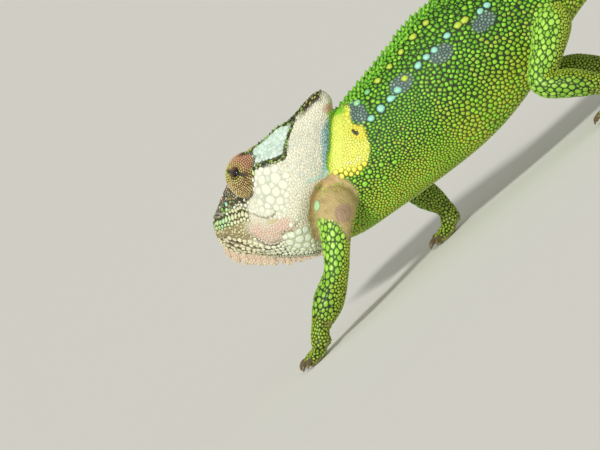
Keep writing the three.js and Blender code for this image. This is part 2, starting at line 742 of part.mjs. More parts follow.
const orbits = [LEFT, RIGHT].map((side) => turretBall(side, GAP));
const nostrils = [LEFT, RIGHT].map((side) => {
  const r = NOSTRIL.radius;
  return blob(onHead(NOSTRIL.back, side * NOSTRIL.out, NOSTRIL.high), [r, r, r], 7, 5);
});
const headWhole = wholeHead().subtract(join(orbits));
const halves = headWhole.subtract(mouthCut()).decompose();
const highest = (solid) => solid.boundingBox().max[2];
const [skull, jawHalf] = halves
  .sort((a, b) => b.volume() - a.volume())
  .slice(0, 2)
  .sort((a, b) => highest(b) - highest(a));
const skullWhole = join([skull, ...headCrest(), ...cheekPlates()]);
node("head", skullWhole.subtract(join([...orbits, ...nostrils])), COLOURS.face);
node("lower_jaw", join([jawHalf, ...gularLobes()]), COLOURS.throat);
const sides = { left: LEFT, right: RIGHT };
for (const [word, side] of Object.entries(sides)) {
  node(`eye_turret_${word}`, eyeTurret(side), COLOURS.turret);
  node(`eyeball_${word}`, eyeball(side), COLOURS.eye);
}

const headGrown = wholeHead(GAP);
const trunkPlain = trunk();
const trunkCuts = [
  ["neck", -99, CUTS.neck, COLOURS.neck],
  ["chest", CUTS.neck, CUTS.chest, COLOURS.green],
  ["belly", CUTS.chest, CUTS.belly, COLOURS.green],
  ["pelvis", CUTS.belly, CUTS.pelvis, COLOURS.green],
];
for (const [name, from, to, colour] of trunkCuts) {
  const length = beforeX(pastX(trunkPlain, from + GAP / 2), to - GAP / 2);
  const raised = [...trunkCrest(from, to), ...trunkTubercles(from, to)];
  const crested = join([length, ...raised]).subtract(headGrown);
  node(name, beforeX(pastX(crested, from + GAP / 2), to - GAP / 2), colour);
}

const tailStart = 1.2 + GAP;
const tailEnds = [tailStart, ...TAIL_PARTS, TAIL.length];
for (let i = 0; i + 1 < tailEnds.length; i++) {
  const from = tailEnds[i] + (i ? GAP / 2 : 0);
  const to = i + 2 < tailEnds.length ? tailEnds[i + 1] - GAP / 2 : TAIL.length;
  const length = tailPiece(from, to, Math.round((to - from) / 1.9) + 3, 10);
  const crested = join([length, ...tailCrest(from, to)]);
  node(`tail_${i + 1}`, aboveFloor(crested), COLOURS.green);
}

const trunkGrown = trunk(GAP);
for (const leg of Object.values(LEGS)) {
  const heel = [leg.foot.x, leg.foot.y, 2.1, 1.9];
  const stations = [leg.root, leg.bulge, leg.middle, leg.bend, leg.lower, leg.ankle, heel];
  const whole = limb(stations, 17, 10, AHEAD);
  const clear = whole.subtract(trunkGrown).subtract(headGrown);
  const elbow = planeAt(leg.middle, leg.lower, 0.5);
  const wrist = planeAt(leg.lower, leg.ankle, 0.8);
  const [upper, lower, foot] = leg.names;
  const skin = limbSkin(stations, AHEAD);
  const scuted = (solid, scutes) => {
    const plates = scutes.map(([share, turn, size]) => {
      const outside = leg.side === LEFT ? 1 - turn : turn;
      return plate(skin(share, outside), [size, 0.72 * size, 0.3]);
    });
    return join([solid, ...plates]);
  };
  node(upper, before(scuted(clear, UPPER_SCUTES), elbow), COLOURS.leg);
  node(lower, before(past(scuted(clear, LOWER_SCUTES), elbow), wrist), COLOURS.leg);
  node(foot, past(footSolid(leg), wrist), COLOURS.leg);
}

const box = new THREE.Box3().setFromObject(group);
const centre = box.getCenter(new THREE.Vector3());
for (const part of group.children) part.geometry.translate(-centre.x, -centre.y, -SOLE);

export default group;
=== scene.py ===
"""A life-size chameleon: one skin knitted over its form, a coat of raised scales, cone crests,
turreted eyes, throat lobes and claws, on a plain pale floor.

Shapes are worked out in millimetres in the animal's own frame, which faces -X with its left side
towards -Y, and are set into the row frame, in metres, as each mesh is made.
"""

import logging
import math
from dataclasses import dataclass, field
from enum import IntEnum
from typing import NamedTuple, Optional, Sequence, Union

import bmesh
import bpy
import numpy as np
from mathutils import Matrix, Vector
from mathutils.bvhtree import BVHTree
from mathutils.kdtree import KDTree


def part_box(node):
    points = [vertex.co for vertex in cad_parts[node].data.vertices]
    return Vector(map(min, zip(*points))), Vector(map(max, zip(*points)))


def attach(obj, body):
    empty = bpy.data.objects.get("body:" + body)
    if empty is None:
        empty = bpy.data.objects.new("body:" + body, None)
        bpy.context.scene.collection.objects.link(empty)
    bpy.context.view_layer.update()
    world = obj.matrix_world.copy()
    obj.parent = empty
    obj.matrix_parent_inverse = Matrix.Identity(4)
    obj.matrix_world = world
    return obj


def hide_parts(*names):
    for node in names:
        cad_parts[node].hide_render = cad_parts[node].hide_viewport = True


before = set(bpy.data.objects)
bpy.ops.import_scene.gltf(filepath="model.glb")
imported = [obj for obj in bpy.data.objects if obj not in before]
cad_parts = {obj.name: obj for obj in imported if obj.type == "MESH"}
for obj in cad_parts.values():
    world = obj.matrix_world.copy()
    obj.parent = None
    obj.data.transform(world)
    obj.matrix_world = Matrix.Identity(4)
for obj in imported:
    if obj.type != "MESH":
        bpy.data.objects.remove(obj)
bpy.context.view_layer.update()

logging.basicConfig(level=logging.INFO, format="%(message)s")
LOG = logging.getLogger("chameleon")

Array = np.ndarray
Number = Union[float, Array]

LEFT = -1
RIGHT = 1
SIDES = ((LEFT, "left"), (RIGHT, "right"))
METRE = 1000.0  # millimetres
FLOOR_GAP = 0.05  # millimetres from the floor to the soles, so that the two never mix
TUFT = 0.0014  # half the width on the baked map of one scale or cone


# ------------------------------------------------------------------ numbers, curves, colours


class Curve:
    """A smooth value along [place, value] keys, level past both ends."""

    def __init__(self, *keys: tuple[float, float]) -> None:
        """Keeps the keys and the slope at each."""
        self.x = np.array([k[0] for k in keys], float)
        self.y = np.array([k[1] for k in keys], float)
        i = np.arange(len(keys))
        a, b = np.maximum(i - 1, 0), np.minimum(i + 1, len(keys) - 1)
        self.slope = (self.y[b] - self.y[a]) / (self.x[b] - self.x[a])

    def __call__(self, place: Number) -> Array:
        """The value at one place or at many."""
        p = np.clip(np.asarray(place, float), self.x[0], self.x[-1])
        i = np.clip(np.searchsorted(self.x, p, "right") - 1, 0, len(self.x) - 2)
        wide = self.x[i + 1] - self.x[i]
        t = (p - self.x[i]) / wide
        level = (1 - t) ** 2 * (1 + 2 * t) * self.y[i] + t * t * (3 - 2 * t) * self.y[i + 1]
        return level + wide * t * (1 - t) * ((1 - t) * self.slope[i] - t * self.slope[i + 1])


def unit(v: Array) -> Array:
    """Vectors at length one."""
    return v / np.maximum(np.linalg.norm(v, axis=-1, keepdims=True), 1e-12)


def step(low: float, high: float, value: Array) -> Array:
    """A soft step from 0 at low to 1 at high, or down when low is the higher."""
    t = np.clip((value - low) / (high - low), 0, 1)
    return t * t * (3 - 2 * t)


def mix(a: Number, b: Number, share: Array) -> Array:
    """From a to b by a share; a colour takes one share for its three numbers."""
    a, b = np.asarray(a, float), np.asarray(b, float)
    if max(a.ndim, b.ndim) and (a.shape[-1:] == (3,) or b.shape[-1:] == (3,)):
        share = np.asarray(share)[..., None]
    return a + (b - a) * share


def over(base: Number, *coats: tuple[Number, Array]) -> Array:
    """A value with others laid over it in turn, each by a share."""
    for value, share in coats:
        base = mix(base, value, share)
    return base


def smooth_span(p: Sequence[Array], w: Array) -> Array:
    """A centripetal spline between the second and third of four points.

    Args:
        p: four arrays of points, one row for each place.
        w: how far along from the second to the third, 0 to 1.

    Returns:
        One point for each row.
    """
    dt = [np.sqrt(np.linalg.norm(b - a, axis=-1, keepdims=True)) for a, b in zip(p, p[1:])]
    dt[1] = np.where(dt[1] < 1e-4, 1.0, dt[1])
    dt[0] = np.where(dt[0] < 1e-4, dt[1], dt[0])
    dt[2] = np.where(dt[2] < 1e-4, dt[1], dt[2])
    t1 = (p[1] - p[0]) / dt[0] - (p[2] - p[0]) / (dt[0] + dt[1]) + (p[2] - p[1]) / dt[1]
    t2 = (p[2] - p[1]) / dt[1] - (p[3] - p[1]) / (dt[1] + dt[2]) + (p[3] - p[2]) / dt[2]
    t1, t2 = t1 * dt[1], t2 * dt[1]
    w = np.asarray(w)[:, None]
    c2 = -3 * p[1] + 3 * p[2] - 2 * t1 - t2
    c3 = 2 * p[1] - 2 * p[2] + t1 + t2
    return p[1] + w * (t1 + w * (c2 + w * c3))


def smooth_line(points: Array, share: Array) -> Array:
    """Places along an open spline through the points, each by its share of the spans."""
    padded = np.vstack([2 * points[0] - points[1], points, 2 * points[-1] - points[-2]])
    at = np.clip(share, 0, 1) * (len(points) - 1)
    i = np.minimum(at.astype(int), len(points) - 2)
    return smooth_span([padded[i + k] for k in range(4)], at - i)


def line_distance(x: Array, y: Array, line: Sequence[tuple[float, float]]) -> Array:
    """How far each (x, y) lies from a line of straight pieces."""
    best = np.full(np.shape(x), 1e9)
    for (x0, y0), (x1, y1) in zip(line, line[1:]):
        dx, dy = x1 - x0, y1 - y0
        t = np.clip(((x - x0) * dx + (y - y0) * dy) / (dx * dx + dy * dy), 0, 1)
        best = np.minimum(best, np.hypot(x - x0 - t * dx, y - y0 - t * dy))
    return best


def inside(x: Array, y: Array, ring: Sequence[tuple[float, float]], soft: float) -> Array:
    """1 inside a closed outline, 0 outside it, soft across its edge."""
    ring = list(ring) + [ring[0]]
    odd = np.zeros(np.shape(x), bool)
    for (x0, y0), (x1, y1) in zip(ring, ring[1:]):
        crosses = (y0 > y) != (y1 > y)
        odd ^= crosses & (x < x0 + (x1 - x0) * (y - y0) / ((y1 - y0) or 1e-9))
    far = line_distance(x, y, ring)
    return step(-soft, soft, np.where(odd, far, -far))


def oval(x: Array, y: Array, centre: tuple[float, float], radii: tuple[float, float]) -> Array:
    """1 at the middle of an oval, 0 past its rim."""
    d = np.hypot((x - centre[0]) / radii[0], (y - centre[1]) / radii[1])
    return step(1.15, 0.85, d)


def rgb(red: int, green: int, blue: int) -> tuple[float, float, float]:
    """A paint shade from three numbers up to 255, as light."""
    shade = []
    for part in (red, green, blue):
        c = part / 255
        shade.append(c / 12.92 if c <= 0.04045 else ((c + 0.055) / 1.055) ** 2.4)
    return tuple(shade)


class Paint:
    """The animal's own colours, as light."""

    CREAM = rgb(238, 243, 222)
    WARM_CREAM = rgb(236, 234, 207)
    MINT = rgb(222, 242, 228)
    PINK = rgb(226, 184, 166)
    LOBE_PINK = rgb(232, 211, 184)
    LOBE_TIP = rgb(240, 228, 198)
    STRAW = rgb(200, 192, 114)
    CHIN_BROWN = rgb(128, 108, 66)
    VIOLET_GREY = rgb(88, 84, 58)
    SMOKE = rgb(58, 54, 40)
    GROOVE = rgb(46, 34, 28)
    CREASE = rgb(224, 222, 202)
    BLACK_OLIVE = rgb(34, 36, 20)
    OLIVE = rgb(118, 112, 52)
    STEEL = rgb(150, 200, 206)
    TURQUOISE = rgb(160, 232, 208)
    LEAF = rgb(122, 204, 36)
    GREEN = rgb(108, 182, 30)
    BRIGHT = rgb(152, 222, 54)
    PALE_GREEN = rgb(184, 236, 96)
    YELLOW_GREEN = rgb(170, 200, 40)
    LIME = rgb(198, 224, 72)
    MOSS = rgb(30, 52, 6)
    YELLOW = rgb(240, 249, 112)
    GOLD = rgb(240, 236, 62)
    SLATE = rgb(112, 132, 140)
    TAN = rgb(204, 182, 124)
    MAUVE = rgb(176, 144, 122)
    BLACK = rgb(14, 12, 10)
    SALMON = rgb(218, 160, 128)
    ORANGE_TAN = rgb(200, 166, 94)
    HORN = rgb(120, 104, 66)
    OLIVE_STRAW = rgb(170, 160, 96)
    LEMON_GREEN = rgb(200, 238, 62)
    FOREST = rgb(66, 112, 26)


# ------------------------------------------------------------------ meshes as arrays


class Shell(NamedTuple):
    """A mesh as arrays: its places, its corners' numbers and where each face starts."""

    points: Array
    loops: Array
    starts: Array

    def faces(self) -> list[list[int]]:
        """The corners of each face."""
        return [face.tolist() for face in np.split(self.loops, self.starts[1:])]


def arrays(mesh: bmesh.types.BMesh) -> Shell:
    """Ends a mesh and returns it as arrays.

    The faces are sorted, because the operators leave them in another order on each run.
    """
    mesh.verts.index_update()
    points = np.array([v.co for v in mesh.verts])
    faces = []
    for face in mesh.faces:
        corners = [v.index for v in face.verts]
        first = corners.index(min(corners))
        faces.append(corners[first:] + corners[:first])
    faces.sort()
    mesh.free()
    sizes = np.array([len(face) for face in faces])
    return Shell(points, np.concatenate(faces), np.cumsum(sizes) - sizes)


def sphere(sides: int, rows: int) -> Shell:
    """A ball of radius one."""
    mesh = bmesh.new()
    bmesh.ops.create_uvsphere(mesh, u_segments=sides, v_segments=rows, radius=1.0)
    return arrays(mesh)


def joined(shells: Sequence[Shell]) -> Shell:
    """Several meshes as one, in their order."""
    counts = np.cumsum([0] + [len(shell.points) for shell in shells])
    corners = np.cumsum([0] + [len(shell.loops) for shell in shells])
    return Shell(
        np.concatenate([shell.points for shell in shells]),
        np.concatenate([shell.loops + n for shell, n in zip(shells, counts)]),
        np.concatenate([shell.starts + n for shell, n in zip(shells, corners)]),
    )


def repeated(places: Array, loops: Array, starts: Array) -> Shell:
    """One shape's faces over many sets of its places, set by set."""
    each = np.arange(len(places))[:, None]
    return Shell(
        places.reshape(-1, 3),
        (each * places.shape[1] + loops).ravel(),
        (each * len(loops) + starts).ravel(),
    )


def filled(name: str, shell: Shell) -> bpy.types.Mesh:
    """A smooth mesh from arrays."""
    mesh = bpy.data.meshes.new(name)
    mesh.vertices.add(len(shell.points))
    mesh.loops.add(len(shell.loops))
    mesh.polygons.add(len(shell.starts))
    mesh.vertices.foreach_set("co", shell.points.astype(np.float32).ravel())
    mesh.loops.foreach_set("vertex_index", shell.loops.astype(np.int32))
    mesh.polygons.foreach_set("loop_start", shell.starts.astype(np.int32))
    mesh.polygons.foreach_set("use_smooth", np.ones(len(shell.starts), bool))
    mesh.update(calc_edges=True)
    return mesh


def read(items: bpy.types.bpy_prop_collection, name: str, width: int = 1,
         kind: type = float) -> Array:
    """What a mesh's items hold under a name, a row for each where it is wide."""
    found = np.empty(len(items) * width, kind)
    items.foreach_get(name, found)
    return found.reshape(-1, width) if width > 1 else found


def tree_of(points: Array) -> KDTree:
    """A tree that finds the nearest of some points."""
    tree = KDTree(len(points))
    for i, p in enumerate(points):
        tree.insert(p, i)
    tree.balance()
    return tree


def linked(name: str, data: bpy.types.ID) -> bpy.types.Object:
    """A new object in the scene."""
    obj = bpy.data.objects.new(name, data)
    bpy.context.scene.collection.objects.link(obj)
    return obj


# ------------------------------------------------------------------ forms of flesh


class Zone(IntEnum):
    """The stretches of the body that the coat tells apart."""

    HEAD = 0
    TRUNK = 1
    TAIL = 2
    ARM = 3
    LEG = 4
    FOOT = 5


@dataclass(frozen=True)
class Patch:
    """A rectangle of the unwrapped skin."""

    x: float
    y: float
    wide: float
    high: float

    def at(self, uv: Array) -> Array:
        """Places in the rectangle from shares of its two sides."""
        return np.array([self.x, self.y]) + uv * np.array([self.wide, self.high])


@dataclass
class Form:
    """One closed form of flesh, pulled from a ball."""

    zone: Zone = Zone.TRUNK
    rows: int = 24
    sides: int = 24
    blunt: float = 3.0
    patch: Patch = Patch(0, 0, 1, 1)

    def surface(self, share: Array, turn: Array, opened: Array) -> Array:
        """Places on the form by share of its length, turn round it and opening."""
        raise NotImplementedError

    def unwrap(self, points: Array) -> Array:
        """Share of the length and turn of points on or near the form."""
        raise NotImplementedError

    def pull(self) -> Shell:
        """The form's places, its corners and where each face starts."""
        mesh = bmesh.new()
        bmesh.ops.create_uvsphere(mesh, u_segments=self.sides, v_segments=self.rows, radius=1.0)
        ball = np.array([v.co for v in mesh.verts])
        even = np.arccos(np.clip(ball[:, 2], -1, 1)) / math.pi
        turn = np.arctan2(ball[:, 1], ball[:, 0]) / (2 * math.pi) % 1.0
        share = (even + (1 - np.cos(math.pi * even)) / 2) / 2
        pole = (even < 1e-4) | (even > 1 - 1e-4)
        opened = (1 - np.abs(2 * share - 1) ** self.blunt) ** (1 / self.blunt)
        placed = self.surface(share, turn, np.where(pole, 0.0, opened))
        for vert, place in zip(mesh.verts, placed):
            vert.co = place
        bmesh.ops.recalc_face_normals(mesh, faces=mesh.faces[:])
        return arrays(mesh)


@dataclass
class Head(Form):
    """The head with its casque and throat, in its own frame of back, out and high."""

    snout: tuple[float, float, float] = (-19.5, 9.5, 30.2)
    yaw: float = 25.0
    pitch: float = 22.5
    roll: float = 8.0
    length: float = 30.0
    nape: float = 17.0
    rows: int = 72
    sides: int = 64
    blunt: float = 9.0
    zone: Zone = Zone.HEAD
    patch: Patch = Patch(0.01, 0.01, 0.47, 0.42)

    crown = Curve((0, 0.8), (1.6, 2.1), (4.3, 4.9), (6.2, 6.3), (8.5, 8), (11.5, 9.6),
                  (16.2, 11.8), (21.1, 14.4), (24.9, 17.5), (26.8, 18.5), (28.5, 18),
                  (29.6, 16.4), (30, 15))
    ridge_out = Curve((0, 0.8), (1.6, 1.9), (4.3, 2.9), (6.2, 3.5), (8.5, 4.2), (11.5, 4.6),
                      (16.2, 4.3), (18.3, 3.8), (21.1, 3.1), (24.9, 1.9), (27, 1.4), (30, 1.3))
    ridge_high = Curve((0, 0.6), (1.6, 1.8), (4.3, 4.7), (6.2, 6.5), (8.5, 8.9), (11.5, 10.9),
                       (13.1, 11.5), (16.2, 12.8), (18.3, 13.9), (21.1, 14.7), (24.9, 17.3),
                       (26.8, 18.2), (28.5, 17.6), (29.6, 16), (30, 14.6))
    temple_out = Curve((0, 1.3), (1, 2.5), (3.3, 3.5), (6, 4.1), (9, 4.4), (11, 5.3),
                       (12.5, 7.2), (16, 7.5), (20, 7.5), (24, 7), (28, 5.6), (30, 4.6))
    temple_high = Curve((0, 0.4), (1, 1.2), (3.3, 2.4), (8, 5), (13.3, 8.2), (16, 8.8),
                        (20, 8.9), (30, 9))
    lip_out = Curve((0, 1.4), (1, 2.7), (3.3, 4), (6, 4.9), (9, 5.8), (12, 7), (15, 7.3),
                    (20, 7.4), (25, 7), (30, 5))
    lip_high = Curve((0, 0), (6, 0.8), (9, 1.1), (12, -0.6), (15, -1.4), (20, -1.2), (30, 0))
    jaw_out = Curve((0, 1.5), (1, 2.8), (3.3, 4.1), (6, 5.2), (9, 6.1), (12, 6.6), (16, 6.9),
                    (20, 6.8), (30, 5))
    jaw_high = Curve((0, -1.6), (3, -2.2), (8, -2.9), (14, -4.6), (20, -4.8), (30, -4.4))
    throat_out = Curve((0, 1.2), (1, 1.9), (3.3, 2.8), (8, 3.6), (14, 4.1), (20, 4), (30, 3.6))
    throat_high = Curve((0, -3.6), (3, -5.2), (8, -6.9), (14, -8.3), (20, -8.8), (30, -8.4))
    keel = Curve((0, -4.2), (0.6, -5.4), (2, -6.6), (5.5, -7.9), (9, -8.9), (13.7, -10),
                 (17, -10.5), (22, -10.7), (30, -10.4))
    closing = Curve((0, -1.8), (4, -0.8), (10, 1.5), (30, 4))
    end = Curve((-11, 19.2), (-8, 19.8), (-5, 20.3), (-2, 21.2), (0.5, 23), (2.5, 25),
                (4, 26.2), (8, 27.2), (14, 28.4), (16, 29.6), (18, 30))
    mouth = ((-0.5, 0.3), (0.6, 0.35), (3.5, 0.55), (5.8, 0.8), (8.5, 1.1), (10, 0.2),
             (11.7, -0.7), (13.1, -1.2), (14.1, -1.2), (14.8, -0.9), (15.3, -0.4))
    jaw_line = Curve((-1, 0.1), (0.6, 0.1), (3.5, 0.5), (5.8, 0.8), (8.5, 1.1), (10, 0.1),
                     (11.7, -0.7), (13.1, -1.3), (15, -1.6), (19, -2.1), (28, -2.6))

    def __post_init__(self) -> None:
        """Works out the head's axes: back, right and up."""
        y, p, r = (math.radians(v) for v in (self.yaw, self.pitch, self.roll))
        ahead = np.array([-math.cos(p) * math.cos(y), math.cos(p) * math.sin(y), math.sin(p)])
        up = np.array([math.sin(p) * math.cos(y), -math.sin(p) * math.sin(y), math.cos(p)])
        right = np.cross(ahead, up)
        self.axes = np.array([
            -ahead,
            right * math.cos(r) - up * math.sin(r),
            up * math.cos(r) + right * math.sin(r),
        ])

    def place(self, back: Number, out: Number, high: Number) -> Array:
        """Points of the head's frame in the animal's frame."""
        parts = np.stack(np.broadcast_arrays(*map(np.asarray, (back, out, high))), -1)
        return np.array(self.snout) + parts @ self.axes

    def local(self, points: Array) -> Array:
        """Points of the animal's frame as back, out and high."""
        return (points - np.array(self.snout)) @ self.axes.T

    def rings(self, back: Array) -> Array:
        """The outline's points across the head, fourteen at each place along it."""
        zero = np.zeros_like(back)
        outs = [zero, self.ridge_out(back), None, self.temple_out(back), self.lip_out(back),
                self.jaw_out(back), self.throat_out(back), zero]
        highs = [self.crown(back), self.ridge_high(back), None, self.temple_high(back),
                 self.lip_high(back), self.jaw_high(back), self.throat_high(back),
                 self.keel(back)]
        outs[2] = 0.42 * outs[1] + 0.58 * outs[3] - 0.3
        highs[2] = 0.5 * (highs[1] + highs[3])
        half = np.stack([np.stack(outs, -1), np.stack(highs, -1)], -1)
        left = half * np.array([-1, 1])
        return np.concatenate([left, half[:, 6:0:-1]], 1)

    def surface(self, share: Array, turn: Array, opened: Array) -> Array:
        """Places on the head's outline."""
        back = share * self.length
        ring = self.rings(back)
        at = turn * ring.shape[1]
        i = at.astype(int)
        rows = np.arange(len(back))
        p = smooth_span([ring[rows, (i + k) % ring.shape[1]] for k in (-1, 0, 1, 2)], at - i)
        middle = self.closing(back)
        high = middle + (p[:, 1] - middle) * opened
        squeeze = (self.end(high) - self.nape) / (self.length - self.nape)
        warped = np.where(back > self.nape, self.nape + (back - self.nape) * squeeze, back)
        return self.place(warped, p[:, 0] * opened, high)

    def unwrap(self, points: Array) -> Array:
        """Share of the length and turn of points on the head."""
        back, out, high = self.local(points).T
        turn = np.arctan2(out, high - self.closing(back)) / (2 * math.pi) % 1.0
        return np.stack([np.clip(back / self.length, 0, 1), turn], -1)


@dataclass
class Trunk(Form):
    """The neck, chest, belly and pelvis, along X."""

    front: float = -9.0
    behind: float = 66.0
    widest: float = 0.42
    rows: int = 96
    sides: int = 56
    blunt: float = 8.0
    zone: Zone = Zone.TRUNK
    patch: Patch = Patch(0.5, 0.01, 0.48, 0.42)

    back = Curve((-9, 27), (-5, 28.4), (0, 29.8), (5, 31), (11, 32.1), (18.3, 33.1),
                 (24.2, 34.2), (31, 35.7), (38, 35.6), (46, 33.4), (54, 29.8), (60, 26.5),
                 (66, 24.6))
    belly = Curve((-9, 14.2), (-4, 12.5), (0, 11.4), (7, 10.8), (15, 10.2), (25, 9.8),
                  (33, 10.4), (41, 12.2), (49, 15), (55, 17), (60, 18.1), (66, 19.4))
    girth = Curve((-9, 4.2), (-4, 5.2), (0, 5.9), (6, 6.3), (12, 6.7), (22, 7.1), (32, 7.1),
                  (42, 6.2), (50, 5), (56, 4.2), (60, 3.7), (66, 3.1))
    sway = Curve((-9, 3.6), (-5, 2.5), (0, 1.2), (6, 0.3), (12, 0), (66, 0))

    def on(self, x: Array, turn: Array, opened: Number = 1.0) -> Array:
        """Places on the trunk at places along it and turns from the back's keel."""
        top, bottom = self.back(x), self.belly(x)
        middle = bottom + self.widest * (top - bottom)
        angle = 2 * math.pi * turn
        rise, beside = np.cos(angle), np.sin(angle)
        out = np.sign(beside) * np.abs(beside) ** np.where(rise > 0, 1.3, 0.95)
        half = np.where(rise > 0, top - middle, middle - bottom)
        y = self.sway(x) + opened * self.girth(x) * out
        return np.stack([x + 0 * y, y, middle + opened * half * rise], -1)

    def surface(self, share: Array, turn: Array, opened: Array) -> Array:
        """Places on the trunk's outline."""
        return self.on(self.front + share * (self.behind - self.front), turn, opened)

    def unwrap(self, points: Array) -> Array:
        """Share of the length and turn of points on the trunk."""
        x, y, z = points.T
        top, bottom = self.back(x), self.belly(x)
        middle = bottom + self.widest * (top - bottom)
        half = np.where(z > middle, top - middle, middle - bottom)
        turn = np.arctan2((y - self.sway(x)) / self.girth(x), (z - middle) / half)
        share = (x - self.front) / (self.behind - self.front)
        return np.stack([np.clip(share, 0, 1), turn / (2 * math.pi) % 1.0], -1)


@dataclass
class Tube(Form):
    """A round limb, palm or toe along stations [x, y, z, radius]."""

    stations: Sequence[Sequence[float]] = ()
    towards: tuple[float, float, float] = (-1, 0, 0)
    samples: int = 90

    def __post_init__(self) -> None:
        """Samples the middle line, for finding the nearest place on it."""
        rows = np.array(self.stations, float)
        self.line = rows[:, :3]
        self.radius = Curve(*zip(np.linspace(0, 1, len(rows)), rows[:, 3]))
        self.shares = np.linspace(0, 1, self.samples)
        self.centres, self.along, self.before, self.beside = self.frames(self.shares)

    def frames(self, share: Array) -> tuple[Array, Array, Array, Array]:
        """The middle, the heading and two cross directions at shares of the length."""
        centre = smooth_line(self.line, share)
        ahead = smooth_line(self.line, np.minimum(share + 1e-3, 1))
        behind = smooth_line(self.line, np.maximum(share - 1e-3, 0))
        along = unit(ahead - behind)
        towards = np.array(self.towards, float)
        before = unit(towards - along * (along @ towards)[:, None])
        return centre, along, before, np.cross(along, before)

    def sizes(self, share: Array) -> tuple[Array, Array]:
        """Half sizes towards the reference direction and across it."""
        return self.radius(share), self.radius(share)

    def surface(self, share: Array, turn: Array, opened: Array) -> Array:
        """Places on the tube."""
        centre, _, before, beside = self.frames(share)
        high, wide = self.sizes(share)
        angle = 2 * math.pi * turn
        return (
            centre
            + before * (high * opened * np.cos(angle))[:, None]
            + beside * (wide * opened * np.sin(angle))[:, None]
        )

    def unwrap(self, points: Array) -> Array:
        """Share of the length and turn of points on or near the tube."""
        nearest = np.empty(len(points), int)
        for start in range(0, len(points), 4000):
            part = points[start : start + 4000]
            gap = ((part[:, None] - self.centres[None]) ** 2).sum(-1)
            nearest[start : start + 4000] = gap.argmin(1)
        offset = points - self.centres[nearest]
        length = np.linalg.norm(np.diff(self.centres, axis=0), axis=1).sum()
        share = self.shares[nearest] + (offset * self.along[nearest]).sum(-1) / length
        turn = np.arctan2(
            (offset * self.beside[nearest]).sum(-1), (offset * self.before[nearest]).sum(-1)
        )
        return np.stack([np.clip(share, 0, 1), turn / (2 * math.pi) % 1.0], -1)


@dataclass
class Tail(Tube):
    """The tail: nearly level at its root, then curled in a flat coil."""

    start: float = 60.0
    root: float = 22.3
    lift: float = 4.0
    straight: float = 20.0
    length: float = 94.0
    coil: tuple[float, float] = (12.3, 2.7)
    step: float = 0.5
    rows: int = 150
    sides: int = 20
    blunt: float = 14.0
    samples: int = 189
    zone: Zone = Zone.TAIL
    patch: Patch = Patch(0.01, 0.47, 0.97, 0.1)

    height = Curve((0, 4.1), (8, 3.4), (20, 2.8), (40, 2.2), (60, 1.6), (80, 1.05),
                   (92, 0.65), (94, 0.2))
    width = Curve((0, 3.6), (8, 2.9), (20, 2.4), (40, 1.9), (60, 1.4), (80, 0.95),
                  (92, 0.6), (94, 0.2))

    def __post_init__(self) -> None:
        """Walks the coil's middle line."""
        x, z, heading = self.start, self.root, math.radians(self.lift)
        rows = []
        for i in range(int(self.length / self.step) + 1):
            rows.append((x, z, heading))
            down = max(0.0, i * self.step - self.straight) / (self.length - self.straight)
            radius = self.coil[0] + (self.coil[1] - self.coil[0]) * down
            if i * self.step >= self.straight:
                heading -= self.step / radius
            x += self.step * math.cos(heading)
            z += self.step * math.sin(heading)
        self.walk = np.array(rows)
        self.shares = np.linspace(0, 1, self.samples)
        self.centres, self.along, self.before, self.beside = self.frames(self.shares)

    def frames(self, share: Array) -> tuple[Array, Array, Array, Array]:
        """The middle, the heading, upwards and sideways at shares of the length."""
        at = np.clip(share, 0, 1) * (len(self.walk) - 1)
        x, z, heading = (
            np.interp(at, np.arange(len(self.walk)), self.walk[:, k]) for k in range(3)
        )
        flat = np.zeros_like(x)
        along = np.stack([np.cos(heading), flat, np.sin(heading)], -1)
        before = np.stack([-np.sin(heading), flat, np.cos(heading)], -1)
        return np.stack([x, flat, z], -1), along, before, np.stack([flat, flat + 1, flat], -1)

    def sizes(self, share: Array) -> tuple[Array, Array]:
        """Half sizes upwards and sideways."""
        return self.height(share * self.length), self.width(share * self.length)


@dataclass(frozen=True)
class Foot:
    """Where a palm stands, which way it points, and its two bundles of fused toes."""

    x: float
    y: float
    heading: float
    toes: tuple[int, int]
    spread: tuple[float, float]
    reach: float = 5.4
    apart: float = 15.0
    claw: float = 1.5

    def aims(self, side: int) -> list[tuple[Array, float]]:
        """The direction and the reach of each toe."""
        found = []
        for bundle, count in enumerate(self.toes):
            for toe in range(count):
                fan = toe - (count - 1) / 2
                turn = math.radians(self.heading - self.spread[bundle] + fan * self.apart)
                aim = np.array([-math.cos(turn), side * math.sin(turn), 0.0])
                found.append((aim, self.reach * (1 - 0.09 * abs(fan))))
        return found

    def toe(self, aim: Array, reach: float) -> list[list[float]]:
        """The stations of one toe."""
        rows = ((0, 1.3, 1.5), (0.5, 1.1, 1.3), (0.85, 0.9, 1.1), (1, 0.75, 0.9))
        at = [(self.x + aim[0] * reach * s, self.y + aim[1] * reach * s) for s, _, _ in rows]
        return [[x, y, z, r] for (x, y), (_, z, r) in zip(at, rows)]


